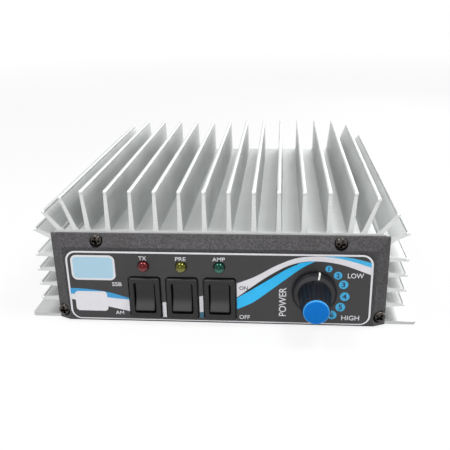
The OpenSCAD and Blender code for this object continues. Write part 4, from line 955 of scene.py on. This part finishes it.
# The barrel's radius follows a helix: barrel - thread * a triangle wave of (ahead / pitch - turn);
# its rim is lower at a few notches
def threadedBarrel(place, v):
    angle = np.linspace(0, 2 * np.pi, 96, endpoint=False)
    root, end = v["flangeT"] + 0.8, v["flangeT"] + v["barrelL"]
    ahead = np.linspace(root, end - 0.5, 88)[:, None]
    wave = np.abs(((ahead / v["pitch"] - angle / (2 * np.pi)) % 1) * 2 - 1)
    fade = np.clip((ahead - root) / 0.8, 0, 1) * np.clip((end - 0.5 - ahead) / 0.5, 0, 1)
    radius = v["barrel"] - 0.02 - v["thread"] * fade * wave
    notch = np.clip((np.cos(v["notches"] * angle) - 0.93) / 0.03, 0, 1) * v["notchDeep"]
    rows = [(v["bore"], -v["tailL"]), (v["tail"], -v["tailL"]), (v["tail"], 0.2), (v["neck"], 0.2),
            (v["neck"], v["flangeT"] + 0.6)]
    rows += list(zip(radius, ahead))
    rim = [(v["neck"], end - 0.15), (v["neck"] - 0.3, end), (v["bore"] + 0.25, end), (v["bore"], end - 0.25)]
    rows += [(r, np.minimum(d, end - notch)) for r, d in rim] + [(v["bore"], end - v["boreD"])]
    polar = np.array([np.broadcast_arrays(r, d, angle)[:2] for r, d in rows])
    radius, ahead = polar[:, 0], polar[:, 1]
    return hoopRings(np.stack([place[0] - radius * np.sin(angle), place[1] + ahead,
                               place[2] + radius * np.cos(angle)], -1))


# The square flange with rounded corners and its edge eased, drawn behind the barrel
def socketFlange(place, v):
    w = v["flange"]
    eased = [(0.0, 0.0), (0.0, -v["flangeT"] + 0.3), (0.25, -v["flangeT"] + 0.08), (0.7, -v["flangeT"])]
    return loftRings(boxRings([(w - less, w - less, v["corner"], ahead) for less, ahead in eased], place))


smallHead = dict(headShape, cross=1.35, slot=0.36, deep=1.1)
rearFace = nodeBox("rear_cover")[1][1]
socketTurns = np.random.default_rng(21).uniform(0, 90, 8)
heads = []
for name in ("antenna", "radio"):
    middle = nodeMiddle(name + "_socket_shell")
    place = np.array([middle[0], rearFace, middle[2]])
    shell = joinParts([threadedBarrel(place, socketShape), socketFlange(place, socketShape)])
    makePiece(name + "SocketShell", shell, finishes["socket_nickel"], "casing",
              [name + "_socket_shell"], smooth=30)
    for dx, dz in ((-1, -1), (-1, 1), (1, -1), (1, 1)):
        at = place + (dx * socketShape["hole"], socketShape["flangeT"], dz * socketShape["hole"])
        heads.append(panHead(at, smallHead, math.radians(socketTurns[len(heads)]), length=8.6, outward=1))
makePiece("socketScrews", joinParts(heads), finishes["socket_steel"], "casing",
          ["socket_screws"], smooth=30)

grommetShape = dict(bore=4.0, lip=8.0, neck=6.0, lipT=2.0, plate=2.0, edge=0.95)


# The grommet's closed profile: two rounded lips joined by a narrower neck, turned about Y; the
# bore widens towards both mouths
def grommetSkin(place, v):
    def lip(start):
        depth = v["lipT"] / 2
        return [(v["lip"] - v["edge"] + v["edge"] * math.sin(a), start + (depth - depth * math.cos(a)))
                for a in np.radians(np.linspace(0, 180, 13))]
    mouth = [(0.5, 0.0), (0.12, 0.3), (0.0, 0.8)]
    far = v["plate"] + v["lipT"]
    profile = lip(-v["lipT"]) + [(v["neck"], 0.0), (v["neck"], v["plate"])] + lip(v["plate"])
    profile += [(v["bore"] + wide, far - deep) for wide, deep in mouth]
    profile += [(v["bore"] + wide, -v["lipT"] + deep) for wide, deep in mouth[::-1]]
    return hoopRings(turnedRings(profile, 64, place))


middle = nodeMiddle("cable_grommet")
makePiece("supplyCableGrommet", grommetSkin(np.array([middle[0], rearFace, middle[2]]), grommetShape),
          finishes["rubber_black"], "casing", ["cable_grommet"])
print("rear sockets and grommet made")
